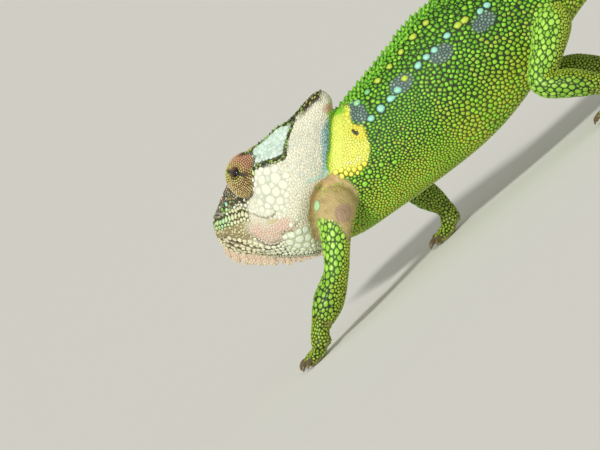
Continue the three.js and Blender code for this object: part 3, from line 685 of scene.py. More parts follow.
@dataclass(frozen=True)
class Leg:
    """One leg by its stations, with its foot."""

    name: str
    side: int
    front: bool
    stations: tuple[tuple[float, float, float, float], ...]
    foot: Foot

    def forms(self, number: int) -> list[Form]:
        """The leg, its palm and its toes as tubes, with their patches of the unwrap."""
        lower, ankle = np.array(self.stations[4]), np.array(self.stations[5])
        foot = self.foot
        heel = (foot.x, foot.y, 2.1, 1.9)
        palm = [lower + 0.4 * (ankle - lower), ankle, (foot.x, foot.y, 2.1, 2.05),
                (foot.x - 0.4, foot.y, 1.3, 1.6)]
        across = 0.01 + 0.245 * number
        made = [
            Tube(stations=[*self.stations, heel], rows=44, sides=28),
            Tube(stations=palm, rows=20, sides=20),
        ]
        made[0].zone = Zone.ARM if self.front else Zone.LEG
        made[0].patch = Patch(across, 0.6, 0.23, 0.16)
        made[1].zone = Zone.FOOT
        made[1].patch = Patch(across, 0.79, 0.23, 0.07)
        for i, (aim, reach) in enumerate(foot.aims(self.side)):
            toe = Tube(stations=foot.toe(aim, reach), towards=(0, 0, 1), rows=14, sides=14)
            toe.zone = Zone.FOOT
            slot = 5 * number + i
            toe.patch = Patch(0.01 + 0.098 * (slot % 10), 0.88 + 0.06 * (slot // 10), 0.09, 0.045)
            made.append(toe)
        return made


LEGS = (
    Leg("front_left", LEFT, True,
        ((0.2, -3.4, 19.9, 4.4), (-0.7, -6, 18.9, 4.5), (-4.6, -8.9, 14.4, 2.8),
         (-8.2, -10.2, 10.1, 2.35), (-12.8, -10.9, 6.9, 2.9), (-17.4, -11.4, 3.8, 1.75)),
        Foot(-18.4, -11.6, 6, (3, 2), (38, -30))),
    Leg("front_right", RIGHT, True,
        ((2.6, 3.8, 20.2, 4.3), (4, 6.4, 19.2, 3.9), (7.4, 8.8, 16.8, 2.8),
         (11.2, 10.4, 13.6, 2.4), (13.4, 11.3, 8.6, 2.75), (14.6, 11.8, 3.9, 1.75)),
        Foot(14, 11.9, 14, (3, 2), (38, -34))),
    Leg("hind_left", LEFT, False,
        ((53, -2.6, 20.6, 4), (50.4, -5.4, 18.8, 3.9), (46, -8.6, 15.8, 3.1),
         (41.8, -11, 12.4, 2.4), (46.2, -11.9, 8.8, 2.7), (50.8, -12.3, 4, 1.75)),
        Foot(50.6, -12.5, 14, (2, 3), (40, -34))),
    Leg("hind_right", RIGHT, False,
        ((53, 2.6, 20.6, 4), (51.2, 5.4, 18.8, 3.9), (48, 8.7, 15.4, 3.1),
         (45, 11.2, 11.8, 2.4), (50, 11.9, 8.4, 2.7), (54.8, 12.3, 4, 1.75)),
        Foot(55, 12.5, 16, (2, 3), (40, -34))),
)
HEAD = Head()
TRUNK = Trunk()
TAIL = Tail()


@dataclass(frozen=True)
class Turret:
    """The round lid of fused skin over one eye, its gaze and the eye in it."""

    back: float = 10.9
    out: float = 4.0
    high: float = 6.9
    radius: float = 4.3
    forward: float = 0.28
    up: float = 0.39
    aperture: float = 0.95
    depth: float = 1.0
    eye: float = 0.72
    squeeze: float = 0.7

    def held(self) -> Array:
        """The way behind and below, where the cheek holds the lid back."""
        return unit(np.array([0.85, 0, -0.53]) @ HEAD.axes)

    def press(self, offsets: Array) -> Array:
        """Offsets from the middle of a ball, shortened where the cheek holds the lid."""
        past = np.maximum(0, offsets @ self.held())
        return offsets - (1 - self.squeeze) * past[:, None] * self.held()

    def gap(self, points: Array, side: int) -> Array:
        """How far places stand off the lid."""
        offsets = points - self.centre(side)
        past = np.maximum(0, offsets @ self.held()) * (1 / self.squeeze - 1)
        return np.linalg.norm(offsets + past[:, None] * self.held(), axis=1) - self.radius

    def centre(self, side: int) -> Array:
        """The turret's middle."""
        return HEAD.place(self.back, side * self.out, self.high)

    def axis(self, side: int) -> Array:
        """The way the eye looks."""
        aim = HEAD.place(self.back - self.forward, side * (self.out + 1), self.high + self.up)
        return unit(aim - self.centre(side))

    def basis(self, side: int) -> Array:
        """Two directions across a turret's gaze, and the gaze."""
        axis = self.axis(side)
        across = unit(HEAD.axes[0] - axis * (HEAD.axes[0] @ axis))
        return np.stack([across, np.cross(axis, across), axis])

    def eye_centre(self, side: int) -> Array:
        """The eyeball's middle."""
        low = self.radius - 2 * self.depth + 0.3 + (self.aperture - 0.3)
        return self.centre(side) + self.axis(side) * low


TURRET = Turret()


# ------------------------------------------------------------------ meshes


def row_shift() -> Array:
    """The row frame's origin in the animal's frame, read from where the left eye stands."""
    low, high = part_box("eyeball_left")
    seen = np.array((low + high) / 2) * METRE
    shift = TURRET.eye_centre(LEFT) - seen
    return np.array([shift[0], shift[1], 0.0])


SHIFT = row_shift()


def to_row(points: Array) -> Array:
    """Points of the animal's frame, in millimetres, in the row frame, in metres."""
    return (points - SHIFT) / METRE


@dataclass
class Surface:
    """A mesh as arrays, in the animal's frame, with a tree for finding places on it."""

    shell: Shell
    tree: BVHTree = field(init=False)

    def __post_init__(self) -> None:
        """Builds the tree."""
        self.tree = BVHTree.FromPolygons(self.shell.points.tolist(), self.shell.faces())

    def nearest(self, points: Array) -> tuple[Array, Array]:
        """The nearest places on the surface, and the outward directions there."""
        places = np.empty((len(points), 3))
        normals = np.empty((len(points), 3))
        for i, p in enumerate(points.tolist()):
            place, normal, _, _ = self.tree.find_nearest(p)
            places[i], normals[i] = place, normal
        return places, normals

    def met(self, start: Array, aim: Array) -> Optional[Array]:
        """The first place that a ray meets, or None."""
        place, _, _, _ = self.tree.ray_cast(Vector(start), Vector(aim))
        return None if place is None else np.array(place)


def mesh_object(
    name: str,
    points: Array,
    loops: Array,
    starts: Array,
    tint: Optional[Array] = None,
    uv: Optional[Array] = None,
    floats: Optional[dict[str, Array]] = None,
) -> bpy.types.Object:
    """A mesh object in the row frame from arrays.

    Args:
        name: the piece's name.
        points: its places in the animal's frame.
        loops: the corners' place numbers, face after face.
        starts: where each face's corners start.
        tint: a colour for each place.
        uv: a place on the unwrap for each corner.
        floats: other numbers for each place, by name.

    Returns:
        The linked object, at the origin.
    """
    mesh = filled(name, Shell(to_row(points), loops, starts))
    if tint is not None:
        layer = mesh.attributes.new("Tint", "FLOAT_COLOR", "POINT")
        full = np.concatenate([np.clip(tint, 0, 1), np.ones((len(tint), 1))], 1)
        layer.data.foreach_set("color", full.astype(np.float32).ravel())
    for key, values in (floats or {}).items():
        layer = mesh.attributes.new(key, "FLOAT", "POINT")
        layer.data.foreach_set("value", values.astype(np.float32))
    if uv is not None:
        layer = mesh.uv_layers.new(name="OFBake")
        layer.data.foreach_set("uv", uv.astype(np.float32).ravel())
    return linked(name, mesh)


# ------------------------------------------------------------------ shader nodes


class Socket:
    """A shader value. Sums written with it add their Math nodes."""

    def __init__(self, web: "Web", link: bpy.types.NodeSocket) -> None:
        """Keeps the material's nodes and the socket."""
        self.web = web
        self.link = link

    def _math(self, operation: str, *values: Union["Socket", float]) -> "Socket":
        """One Math node."""
        inputs = dict(enumerate(values))
        return self.web.node("ShaderNodeMath", {"operation": operation}, inputs)

    def __add__(self, other: Union["Socket", float]) -> "Socket":
        """The sum."""
        return self._math("ADD", self, other)

    __radd__ = __add__

    def __sub__(self, other: Union["Socket", float]) -> "Socket":
        """The difference."""
        return self._math("SUBTRACT", self, other)

    def __rsub__(self, other: Union["Socket", float]) -> "Socket":
        """The difference from a number."""
        return self._math("SUBTRACT", other, self)

    def __mul__(self, other: Union["Socket", float]) -> "Socket":
        """The product."""
        return self._math("MULTIPLY", self, other)

    __rmul__ = __mul__

    def sine(self) -> "Socket":
        """The sine."""
        return self._math("SINE", self)

    def held(self) -> "Socket":
        """The value held between 0 and 1."""
        return self._math("MINIMUM", self._math("MAXIMUM", self, 0.0), 1.0)


class Web:
    """The nodes of one material."""

    def __init__(self, name: str) -> None:
        """Starts a material with a Principled shader."""
        self.material = bpy.data.materials.new(name)
        self.material.use_nodes = True
        self.tree = self.material.node_tree
        self.shader = self.tree.nodes["Principled BSDF"]

    def node(self, kind: str, settings: dict[str, object],
             inputs: dict[Union[str, int], object], output: Union[str, int] = 0) -> Socket:
        """Adds a node.

        Args:
            kind: the node's type.
            settings: its own settings, which are set first.
            inputs: what its sockets hold or link to.
            output: the socket that is given back.

        Returns:
            The chosen output.
        """
        made = self.tree.nodes.new(kind)
        for key, value in settings.items():
            setattr(made, key, value)
        for key, value in inputs.items():
            self.set(made.inputs[key], value)
        return Socket(self, made.outputs[output])

    def set(self, socket: bpy.types.NodeSocket, value: object) -> None:
        """Links a socket or sets its number."""
        if isinstance(value, Socket):
            self.tree.links.new(value.link, socket)
        else:
            socket.default_value = value

    def attribute(self, name: str, output: str) -> Socket:
        """A colour or a number that the mesh carries."""
        return self.node("ShaderNodeAttribute", {"attribute_name": name}, {}, output)

    def noise(self, scale: float, detail: float = 3.0, rough: float = 0.5) -> Socket:
        """Noise on the piece's own coordinates, by features to the metre."""
        where = self.node("ShaderNodeTexCoord", {}, {}, "Object")
        inputs = {"Vector": where, "Scale": scale, "Detail": detail, "Roughness": rough}
        return self.node("ShaderNodeTexNoise", {"noise_dimensions": "3D"}, inputs)

    def shaded(self, share: Socket, by: tuple[float, float, float]) -> Socket:
        """The piece's Tint, and where the share is high the Tint with its parts multiplied."""
        tint = self.attribute("Tint", "Color")
        dark = self.node("ShaderNodeVectorMath", {"operation": "MULTIPLY"}, {0: tint, 1: by})
        settings = {"data_type": "RGBA", "blend_type": "MIX"}
        return self.node("ShaderNodeMix", settings, {0: share, 6: tint, 7: dark}, 2)

    def bump(self, height: Socket, strength: float, distance: float) -> Socket:
        """A normal from a height, its distance in metres."""
        inputs = {"Strength": strength, "Distance": distance, "Height": height}
        return self.node("ShaderNodeBump", {}, inputs)

    def dress(self, **values: object) -> bpy.types.Material:
        """Sets the shader's sockets, with _ for a space in their names."""
        for key, value in values.items():
            self.set(self.shader.inputs[key.replace("_", " ")], value)
        return self.material


@dataclass(frozen=True)
class ScaleFinish:
    """Horny scales: a satin face, darker in its pores, with fine grain."""

    name: str
    roughness: float = 0.42
    mottle: float = 0.3
    spread: float = 0.22
    grain: float = 5200.0
    relief: float = 0.25
    coat: float = 0.08

    def material(self) -> bpy.types.Material:
        """The finish as a material that reads the piece's Tint."""
        web = Web(self.name)
        cloud = web.noise(900.0, 2.0)
        fine = web.noise(self.grain, 3.0, 0.6)
        shade = ((cloud - 0.5) * 1.4 + (fine - 0.5) * 1.2 + 0.4).held() * self.mottle
        return web.dress(
            Base_Color=web.shaded(shade, (0.62, 0.6, 0.52)),
            Roughness=fine * self.spread + (self.roughness - self.spread / 2),
            Coat_Weight=self.coat,
            Coat_Roughness=0.35,
            Normal=web.bump(fine, self.relief, 0.00006),
        )


@dataclass(frozen=True)
class SkinFinish:
    """Bare skin between the scales, with fine creases where it stretches over a joint, and painted
    shade in the creases' troughs.
    """

    name: str = "creased_skin"
    roughness: float = 0.58
    pitch: float = 0.42

    def material(self) -> bpy.types.Material:
        """The finish, which reads Tint, Flow (millimetres across the creases) and Crease."""
        web = Web(self.name)
        flow, crease = web.attribute("Flow", "Fac"), web.attribute("Crease", "Fac")
        wander = (web.noise(420.0, 3.0) - 0.5) * 30.0 + (web.noise(1400.0, 2.0) - 0.5) * 9.0
        wave = (flow * (2 * math.pi / self.pitch) + wander).sine() * 0.5 + 0.5
        fine = web.noise(3800.0, 4.0, 0.65)
        patchy = ((web.noise(700.0, 2.0) - 0.35) * 2.5).held()
        # Painted shade: the troughs of the crease waves are darkened in colour as well as bumped;
        # the fine noise adds a random tone.
        dark = ((1 - wave) * crease * patchy * 0.48 + (fine - 0.5) * 0.7).held()
        return web.dress(
            Base_Color=web.shaded(dark, (0.66, 0.6, 0.54)),
            Roughness=fine * 0.2 + (self.roughness - 0.1),
            Normal=web.bump(wave * crease + fine * 0.45, 0.5, 0.00015),
        )


@dataclass(frozen=True)
class EyeFinish:
    """The wet eye: tinted by its Tint under a clear gloss."""

    name: str = "wet_eye"

    def material(self) -> bpy.types.Material:
        """The finish as a material."""
        web = Web(self.name)
        fleck = web.noise(9000.0, 2.0)
        return web.dress(
            Base_Color=web.shaded((fleck - 0.3).held(), (0.5, 0.45, 0.4)),
            Roughness=fleck * 0.08 + 0.08,
            Coat_Weight=1.0,
            Coat_Roughness=0.03,
            Normal=web.bump(fleck, 0.05, 0.00002),
        )


@dataclass(frozen=True)
class HornFinish:
    """Claws: dark horn with a low gloss, streaked along its growth."""

    name: str = "claw_horn"

    def material(self) -> bpy.types.Material:
        """The finish as a material."""
        web = Web(self.name)
        streak = web.noise(2600.0, 4.0, 0.7)
        return web.dress(
            Base_Color=web.shaded(streak.held(), (0.45, 0.4, 0.35)),
            Roughness=streak * 0.2 + 0.2,
            Coat_Weight=0.3,
            Normal=web.bump(streak, 0.2, 0.00004),
        )


@dataclass(frozen=True)
class FloorFinish:
    """The plain pale floor."""

    name: str = "pale_floor"
    shade: tuple[float, float, float] = rgb(244, 243, 239)

    def material(self) -> bpy.types.Material:
        """The finish as a material."""
        return Web(self.name).dress(Base_Color=(*self.shade, 1.0), Roughness=0.9)


class Finishes:
    """Every finish, made once and shared by name."""

    def __init__(self) -> None:
        """Makes the materials."""
        self.skin = SkinFinish().material()
        self.eye = EyeFinish().material()
        self.horn = HornFinish().material()
        self.floor = FloorFinish().material()
        self.scales = {
            "face": ScaleFinish("face_scales", 0.44, 0.14).material(),
            "throat": ScaleFinish("throat_scales", 0.46, 0.2).material(),
            "turret": ScaleFinish("turret_scales", 0.5, 0.35).material(),
            "shoulder_skin": ScaleFinish("neck_scales", 0.4, 0.2).material(),
            "body_skin": ScaleFinish("body_scales", 0.4, 0.35).material(),
            "leg_skin": ScaleFinish("leg_scales", 0.38, 0.3).material(),
        }


def settle(
    obj: bpy.types.Object, slot: str, material: bpy.types.Material, *nodes: str
) -> bpy.types.Object:
    """Gives a piece its finish and its body, and hides the nodes it stands for."""
    obj.data.materials.clear()
    obj.data.materials.append(material)
    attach(obj, "root")
    if nodes:
        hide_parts(*nodes)
    triangles = len(obj.data.loops) - 2 * len(obj.data.polygons)
    LOG.info("%-24s %7d triangles", obj.name, triangles)
    return obj


# ------------------------------------------------------------------ the coat's rules


@dataclass
class Sites:
    """Places on the skin, with what the coat's rules read of each."""

    points: Array
    normals: Array
    form: Array
    zone: Array
    unwrap: Array
    head: Array
    chance: Array

    def pick(self, chosen: Array) -> "Sites":
        """The chosen sites."""
        return Sites(*(getattr(self, name)[chosen] for name in self.__dataclass_fields__))


@dataclass
class Look:
    """What grows at each site: sizes in millimetres and two colours."""

    radius: Array
    height: Array
    peak: Array
    stretch: Array
    lie: Array
    gap: Array
    tint: Array
    under: Array

    @classmethod
    def of(cls, count: int, radius: Number, tint: Number, under: Number,
           lie: Number = (1, 0, 0), **values: Number) -> "Look":
        """A look for many sites, from values that hold for all or give one for each."""
        plain = {"height": 0.5 * np.asarray(radius), "peak": 0.15, "stretch": 1.0, "gap": 0.07}
        rows = {**plain, **values, "radius": radius, "tint": tint, "under": under, "lie": lie}
        for name, value in rows.items():
            value, wide = np.array(value, float), name in ("tint", "under", "lie")
            if value.ndim == wide:
                value = np.tile(value, (count, 1) if wide else count)
            rows[name] = value
        return cls(**rows)

    def blend(self, share: Array, **values: Number) -> None:
        """Takes values on by a share at each site."""
        for name, value in values.items():
            old = getattr(self, name)
            old[:] = mix(old, value, share)

    def put(self, chosen: Array, **values: Number) -> None:
        """Sets values at the chosen sites."""
        for name, value in values.items():
            old = getattr(self, name)
            old[:] = np.where(chosen[:, None] if old.ndim > 1 else chosen, value, old)


class Markings:
    """Where the colours and the kinds of scale change, in the head's and the body's frames."""

    temporal = ((12.6, 7.9), (13.3, 8.3), (15.2, 8.5), (16.5, 8.65), (18, 8.65), (19.2, 8.75),
                (20.1, 9.1), (20.25, 10.4), (20.35, 11.4), (20.8, 12.3), (21.3, 13.2),
                (22.2, 14.6))
    rear = ((27.9, 13.5), (27.6, 12), (27.4, 10.5), (27.2, 9.1), (26.9, 7.8), (26.6, 7.1),
            (26.2, 5.8), (26, 4.8), (26, 4), (25.3, 3.1), (24.2, 2.85), (23.4, 2.5),
            (22.6, 1.5), (21.9, 0.7), (21.3, -0.3), (20.9, -1.2), (20.3, -2.4), (19.9, -3.6),
            (19.7, -5), (19.3, -7), (19, -9))
    yellow = ((0.5, 24.6), (2.8, 23.6), (3.3, 22.5), (4.4, 21.7), (5.5, 21.1), (6.5, 20.8),
              (8.1, 20.9), (9.6, 21.9), (11, 23.3), (11.6, 25.1), (12.4, 26.9), (11.2, 27.9),
              (11.6, 29.3), (12.9, 31.2), (12, 31.9), (10.9, 30.6), (9.6, 31.1), (7.4, 30.2),
              (4, 29.6), (1, 28.6))
    yellow_edge = ((2.8, 23.6), (3.3, 22.5), (4.4, 21.7), (5.5, 21.1), (6.5, 20.8), (8.1, 20.9))
    pale_line = ((4.4, 24.3), (5.6, 23.6), (6.9, 22.9), (8.2, 22.7))
    golden = ((10.9, 28.2), (9.6, 27.6), (9.1, 26.4), (9.9, 25.2), (11.2, 24.6))
    patch = ((2.6, 23.9), (0, 23.2), (-2.6, 22.4), (-4.4, 20.8), (-4.6, 19.4), (-3.2, 18.4),
             (-2.4, 16.9), (-2.7, 14.9), (-3, 12.8), (-1.2, 14.6), (1, 15.7), (3.2, 16.8),
             (4.2, 18.8), (3.9, 21.2))
    bands = (
        ((3.6, -3.2), (5.2, -3.6), (6.8, -3.9), (8.2, -4.1), (9.4, -4.5), (10.2, -5.6),
         (11, -6.45), (12.6, -6.6), (14.2, -6.2)),
        ((2.6, -3.3), (4.2, -4.1), (5.8, -4.9), (7.2, -5.6), (8.4, -6.3), (9.6, -6.9),
         (11, -7.15), (12.6, -7.2), (14.2, -7)),
        ((1.7, -3.5), (3, -4.4), (4.3, -5.4), (5.6, -6.3), (6.9, -7), (8.4, -7.55),
         (10.2, -7.8), (12.3, -7.8), (14.2, -7.8)),
        ((0.9, -3.9), (1.9, -5), (3, -6), (4.3, -6.9), (5.7, -7.5), (7.2, -8), (9.2, -8.3),
         (11.6, -8.4), (14.2, -8.5)),
    )
    mint = ((13.2, 8.9), (15.3, 9), (17.7, 9.1), (19.7, 9.6), (19.9, 11), (20.5, 12.2),
            (21.8, 15.3), (18, 14.5), (15, 13), (12.4, 11.6))
    rosy = ((10.4, -3.2), (12.2, -4.7), (16, -3.2))
    hook = ((14.9, -4.8), (15.7, -4.5), (16.5, -4.5), (17.3, -4.65), (18, -4.3), (18.5, -3.5))
    nostril = (3.1, 3.3, 2.9)

    def behind(self, a: Array, h: Array) -> Array:
        """How far places lie behind the head's rear edge, less than 0 on the cheek."""
        low_first = self.rear[::-1]
        edge = np.interp(h, [k for _, k in low_first], [b for b, _ in low_first])
        far = line_distance(a, h, self.rear)
        return np.where(a > edge, far, -far)

    @staticmethod
    def arm_front(s: Sites) -> Array:
        """1 over a leg's front and outer side, 0 down its back."""
        side = np.where(s.points[:, 1] < 0, -1.0, 1.0)
        facing = -0.82 * s.normals[:, 0] + 0.5 * side * s.normals[:, 1] + 0.1 * s.normals[:, 2]
        low = mix(-0.18, 0.22, step(0.35, 0.6, s.unwrap[:, 0]))
        return step(low, low + 0.3, facing)

    def shoulder(self, s: Sites) -> Array:
        """1 on the bare stretched skin over each shoulder."""
        x, y, z = s.points.T
        lean = z + 0.07 * (np.abs(y) - 7)
        shifted = np.where(y < 0, x, x - 3.6)
        near = inside(shifted, lean, self.patch, 0.45)
        near = near * np.isin(s.zone, (Zone.ARM, Zone.TRUNK)) * (s.head[:, 0] > 0)
        a, _, h = s.head.T
        edge = (s.zone == Zone.HEAD) * step(0.0, 0.2, self.behind(a, h))
        edge = edge * step(3.7, 3.2, h) * step(-8, -7, h) * (a > 15)
        chest = (s.zone == Zone.TRUNK) * step(-2.2, -3.2, shifted) * step(13, 14, z)
        chest = chest * step(22, 21, z)
        return np.maximum.reduce([near, edge, chest])


class Coat:
    """The rules of the coat: what kind of scale grows where, and its colours."""

    marks = Markings()

    def look(self, s: Sites) -> Look:
        """The coat at each site."""
        out = Look.of(len(s.points), 0.4, Paint.GREEN, Paint.MOSS, gap=0.08)
        for zones, rule in (
            ((Zone.HEAD,), self.head),
            ((Zone.TRUNK,), self.trunk),
            ((Zone.TAIL,), self.tail),
            ((Zone.ARM, Zone.LEG), self.leg),
            ((Zone.FOOT,), self.foot),
        ):
            chosen = np.isin(s.zone, zones)
            if chosen.any():
                part = rule(s.pick(chosen))
                for name in Look.__dataclass_fields__:
                    getattr(out, name)[chosen] = getattr(part, name)
        self.nape(s, out)
        self.shoulder(s, out)
        out.tint *= (0.9 + 0.2 * s.chance)[:, None]
        return out

    def head(self, s: Sites) -> Look:
        """Cream granules behind, flat plates on the cheek, dark crests, a smoky snout."""
        a, o, h = s.head.T
        marks, lip = self.marks, HEAD.jaw_line(a)
        jaw = h < lip
        upper = ~jaw
        rear = step(14.5, 18, a)
        out = Look.of(len(a), mix(0.29, 0.21, rear), Paint.CREAM, Paint.CREASE, HEAD.axes[2],
                      height=0.075, peak=-0.6, stretch=1.15, gap=0.03)
        ridge = HEAD.ridge_high(a)
        edge = line_distance(a, h, list(zip(HEAD.ridge_high.x, HEAD.ridge_high.y)))
        turret = np.minimum(*(TURRET.gap(s.points, side) for side in (LEFT, RIGHT)))
        swung = step(19.5, 22.5, a)[:, None]
        along = (1 - swung) * [0.86, 0, 0.5] + swung * [0.37, 0, 0.93]
        out.blend(rear, lie=along @ HEAD.axes, stretch=1.4)
        # Wavy rows over the rear of the head: warmer granules with darker gaps along them, partly
        # a real banding and partly painted shade standing in for wrinkle ridges that are not
        # modelled.
        row = (1 - swung[:, 0]) * np.sin(10.2 * (h - 0.6 * a) + np.sin(1.9 * a))
        row = row + swung[:, 0] * np.sin(9.6 * (a - 0.39 * h) + np.sin(1.3 * h))
        row = step(-0.2, 0.9, row + 0.5 * (s.chance - 0.5))
        out.blend(0.85 * row * rear, tint=Paint.WARM_CREAM)
        out.blend(0.9 * row * rear, under=rgb(200, 188, 162))
        cheek = upper * oval(a, h, (15.7, 3.5), (3.4, 4.3))
        out.blend(cheek, radius=0.46, peak=-1.0, stretch=1.05, height=0.05,
                  under=rgb(208, 210, 190))
        mint = upper * inside(a, h, marks.mint, 0.3)
        out.blend(mint, tint=Paint.MINT, under=rgb(200, 224, 208), radius=0.4, height=0.04,
                  peak=-1.0)
        out.blend(0.8 * upper * oval(a, h, (28.1, 14.9), (0.6, 0.8)), tint=Paint.SALMON)
        lore = upper * step(10.2, 9.2, a) * step(0.9, 1.3, h - lip)
        smoke = over(Paint.VIOLET_GREY, (Paint.OLIVE_STRAW, 0.9 * (s.chance > 0.55)),
                     (rgb(124, 158, 122), 0.8 * (s.chance < 0.15) * (turret > 0.8)),
                     (Paint.WARM_CREAM, 0.5 * (s.chance > 0.88)))
        out.blend(lore, tint=smoke, under=Paint.SMOKE, radius=0.24, gap=0.08)
        tangents = [np.cross(unit(s.points - TURRET.centre(side)), HEAD.axes[1])
                    for side in (LEFT, RIGHT)]
        ringed = lore * step(2.4, 1.6, turret)
        out.blend(ringed, lie=np.where((o < 0)[:, None], *tangents), stretch=1.5)
        tip = upper * step(4.6, 3.4, a) * step(2.6, 1.8, h)
        mossy = mix(rgb(146, 134, 130), rgb(178, 192, 118), 0.7 * (s.chance > 0.6))
        out.blend(0.85 * tip, tint=mossy)
        out.blend(0.8 * tip, under=Paint.BLACK_OLIVE)
        brow = upper * step(10, 8, a) * step(0.9, 0.3, np.abs(edge)) * (h > 2)
        out.blend(0.7 * brow, tint=mix(Paint.VIOLET_GREY, Paint.PINK, s.chance))
        self.jaw(s, out, jaw)
        # The band along the lips takes dark under-colour: dark skin between the labial plates, and
        # painted shade along the mouth's slit.
        lips = step(1.1, 0.7, np.abs(h - lip + 0.5) - 0.6) * step(10, 9, a)
        out.blend(lips, under=mix(Paint.BLACK_OLIVE, Paint.OLIVE, 0.35))
        dark, spotted = self.crests(s, upper, edge, ridge, turret)
        casque = upper * step(22.5, 24.5, a) * step(1.9, 0.9, edge) * step(28, 27, a)
        mottled = mix(Paint.BLACK_OLIVE, Paint.OLIVE, 0.15 + 0.6 * (s.chance > 0.6))
        dark = np.maximum(dark, casque)
        out.blend(dark, tint=mix(mottled, Paint.STRAW, 0.75 * casque * (s.chance > 0.7)))
        out.blend(0.6 * dark * (s.chance < 0.1), tint=Paint.PALE_GREEN)
        out.blend(0.8 * spotted * (s.chance > 0.35), tint=rgb(186, 204, 128))
        out.blend(dark, under=Paint.BLACK_OLIVE, radius=0.28, height=0.2, peak=0.5, gap=0.08)
        # The nostril's pit takes black under-colour: painted shade in its hollow.
        back, beside, high = marks.nostril
        pit = np.hypot(a - back, h - high) + np.maximum(0, beside - 1 - np.abs(o))
        out.blend(step(0.5, 0.3, pit), under=Paint.BLACK)
        return out

    def crests(self, s: Sites, upper: Array, edge: Array, ridge: Array,
               turret: Array) -> tuple[Array, Array]:
        """The dark lines of the head.

        Args:
            s: the sites.
            upper: 1 above the mouth.
            edge: how far each site is from the ridge's line.
            ridge: how high the ridge is there.
            turret: how far each site is from the nearer turret.

        Returns:
            How dark each site is, and where the dark is broken by pale spots.
        """
        a, o, h = s.head.T
        wide = mix(0.72, 0.5, step(19.4, 20.2, a))
        dark = upper * step(wide, wide - 0.3, line_distance(a, h, self.marks.temporal))
        spotted = dark * step(0.36, 0.2, np.abs(h - 8.4)) * (a < 19.2) * (a > 14)
        thin = 0.45 * oval(a, h, (16.6, 12.6), (3.6, 3.2))
        rim = upper * step(0.85, 0.45, edge + thin) * step(9.5, 11.5, a)
        rim = rim * step(27.4, 26.8, a) * (h < ridge + 1.2)
        crown = (np.abs(o) < HEAD.ridge_out(a) - 0.35) & (h > ridge - 1.5) & (a < 27.2)
        border = 0.9 * step(0.55, 0.3, turret) * upper
        return np.maximum.reduce([dark, rim, upper * crown * step(5, 9, a), border]), spotted

    def jaw(self, s: Sites, out: Look, jaw: Array) -> None:
        """Fine granules under the lip, then folds of long scales down to the throat's keel."""
        a, _, h = s.head.T
        marks, deep, top = self.marks, h - HEAD.keel(a), self.marks.bands[0]
        edge = np.interp(a, [b for b, _ in top] + [15.4], [k for _, k in top] + [-4.6])
        low = step(-0.15, 0.15, edge - h)
        front = step(10, 7, a)
        rosy = step(2.6, 0.6, line_distance(a, h, marks.rosy))
        base = over(
            rgb(232, 229, 204),
            (Paint.OLIVE_STRAW, 0.9 * front),
            (rgb(226, 222, 172), 0.9 * front * (s.chance > 0.5)),
            (Paint.CHIN_BROWN, 0.5 * step(5.5, 3.2, a) * step(-1.8, -2.6, h)),
            (rgb(196, 214, 168), 0.8 * step(7, 4, a) * step(-1.7, -1.2, h)),
            (Paint.PINK, rosy * (0.15 + 0.45 * (s.chance > 0.6))),
            (Paint.STRAW, 0.75 * oval(a, h, (14.2, -1.9), (1.3, 0.5))),
            (mix(rgb(238, 234, 192), rgb(240, 250, 218), step(5, 15, a)), low),
        )
        lines = [*marks.bands[1:], top[3:]]
        # Painted shade: the under-colour turns to the dark groove colour in the pressed-in folds
        # between the throat's bands and along its keel.
        far = np.minimum.reduce([line_distance(a, h, line) for line in lines])
        keel = step(1.15, 0.8, deep) * step(6.5, 9, a)
        groove = np.maximum(step(0.32, 0.08, far) * (a < 19), keel)
        # Painted shade: the under-colour darkens along the rear of the mouth's slit and the hook
        # behind it.
        smile = step(0.24, 0.08, line_distance(a, h, HEAD.mouth)) * step(9.6, 10.6, a)
        smile = np.maximum(smile, step(0.3, 0.08, line_distance(a, h, marks.hook)))
        big = oval(a, h, (17.6, -6.2), (2.9, 2.6)) * low
        radius = mix(mix(0.215, 0.25, front), mix(0.29, 0.33, step(3, 9, a)), low)
        slant = step(10.5, 7.5, a)[:, None]
        lie = slant * [0.74, 0, -0.67] + (1 - slant) * [1, 0, -0.05]
        brown = over(
            Paint.CREASE,
            (Paint.CHIN_BROWN, np.maximum(0.1 + 0.28 * low, 0.85 * front)),
            (0.86 * np.array(Paint.PINK), 0.85 * rosy * (1 - low)),
            (rgb(206, 211, 178), big),
            # painted shade in the throat's folds
            (Paint.GROOVE, groove),
        )
        out.put(
            jaw,
            radius=over(radius, (0.58, big), (0.22, keel)),
            height=mix(mix(0.09, 0.13, front), 0.2, low),
            peak=mix(-0.4, -0.1, front),
            stretch=mix(1.0, 1.3, low * (1 - big)),
            tint=base,
            under=brown,
            gap=over(0.035, (0.075, front), (0.045, low), (0.13, keel)),
        )
        out.put(jaw & (low > 0.4), lie=unit(mix(lie @ HEAD.axes, HEAD.axes[2], keel)))
        # The smile's painted shade along the mouth's slit.
        out.blend(0.85 * smile, under=0.7 * np.array(Paint.CHIN_BROWN))

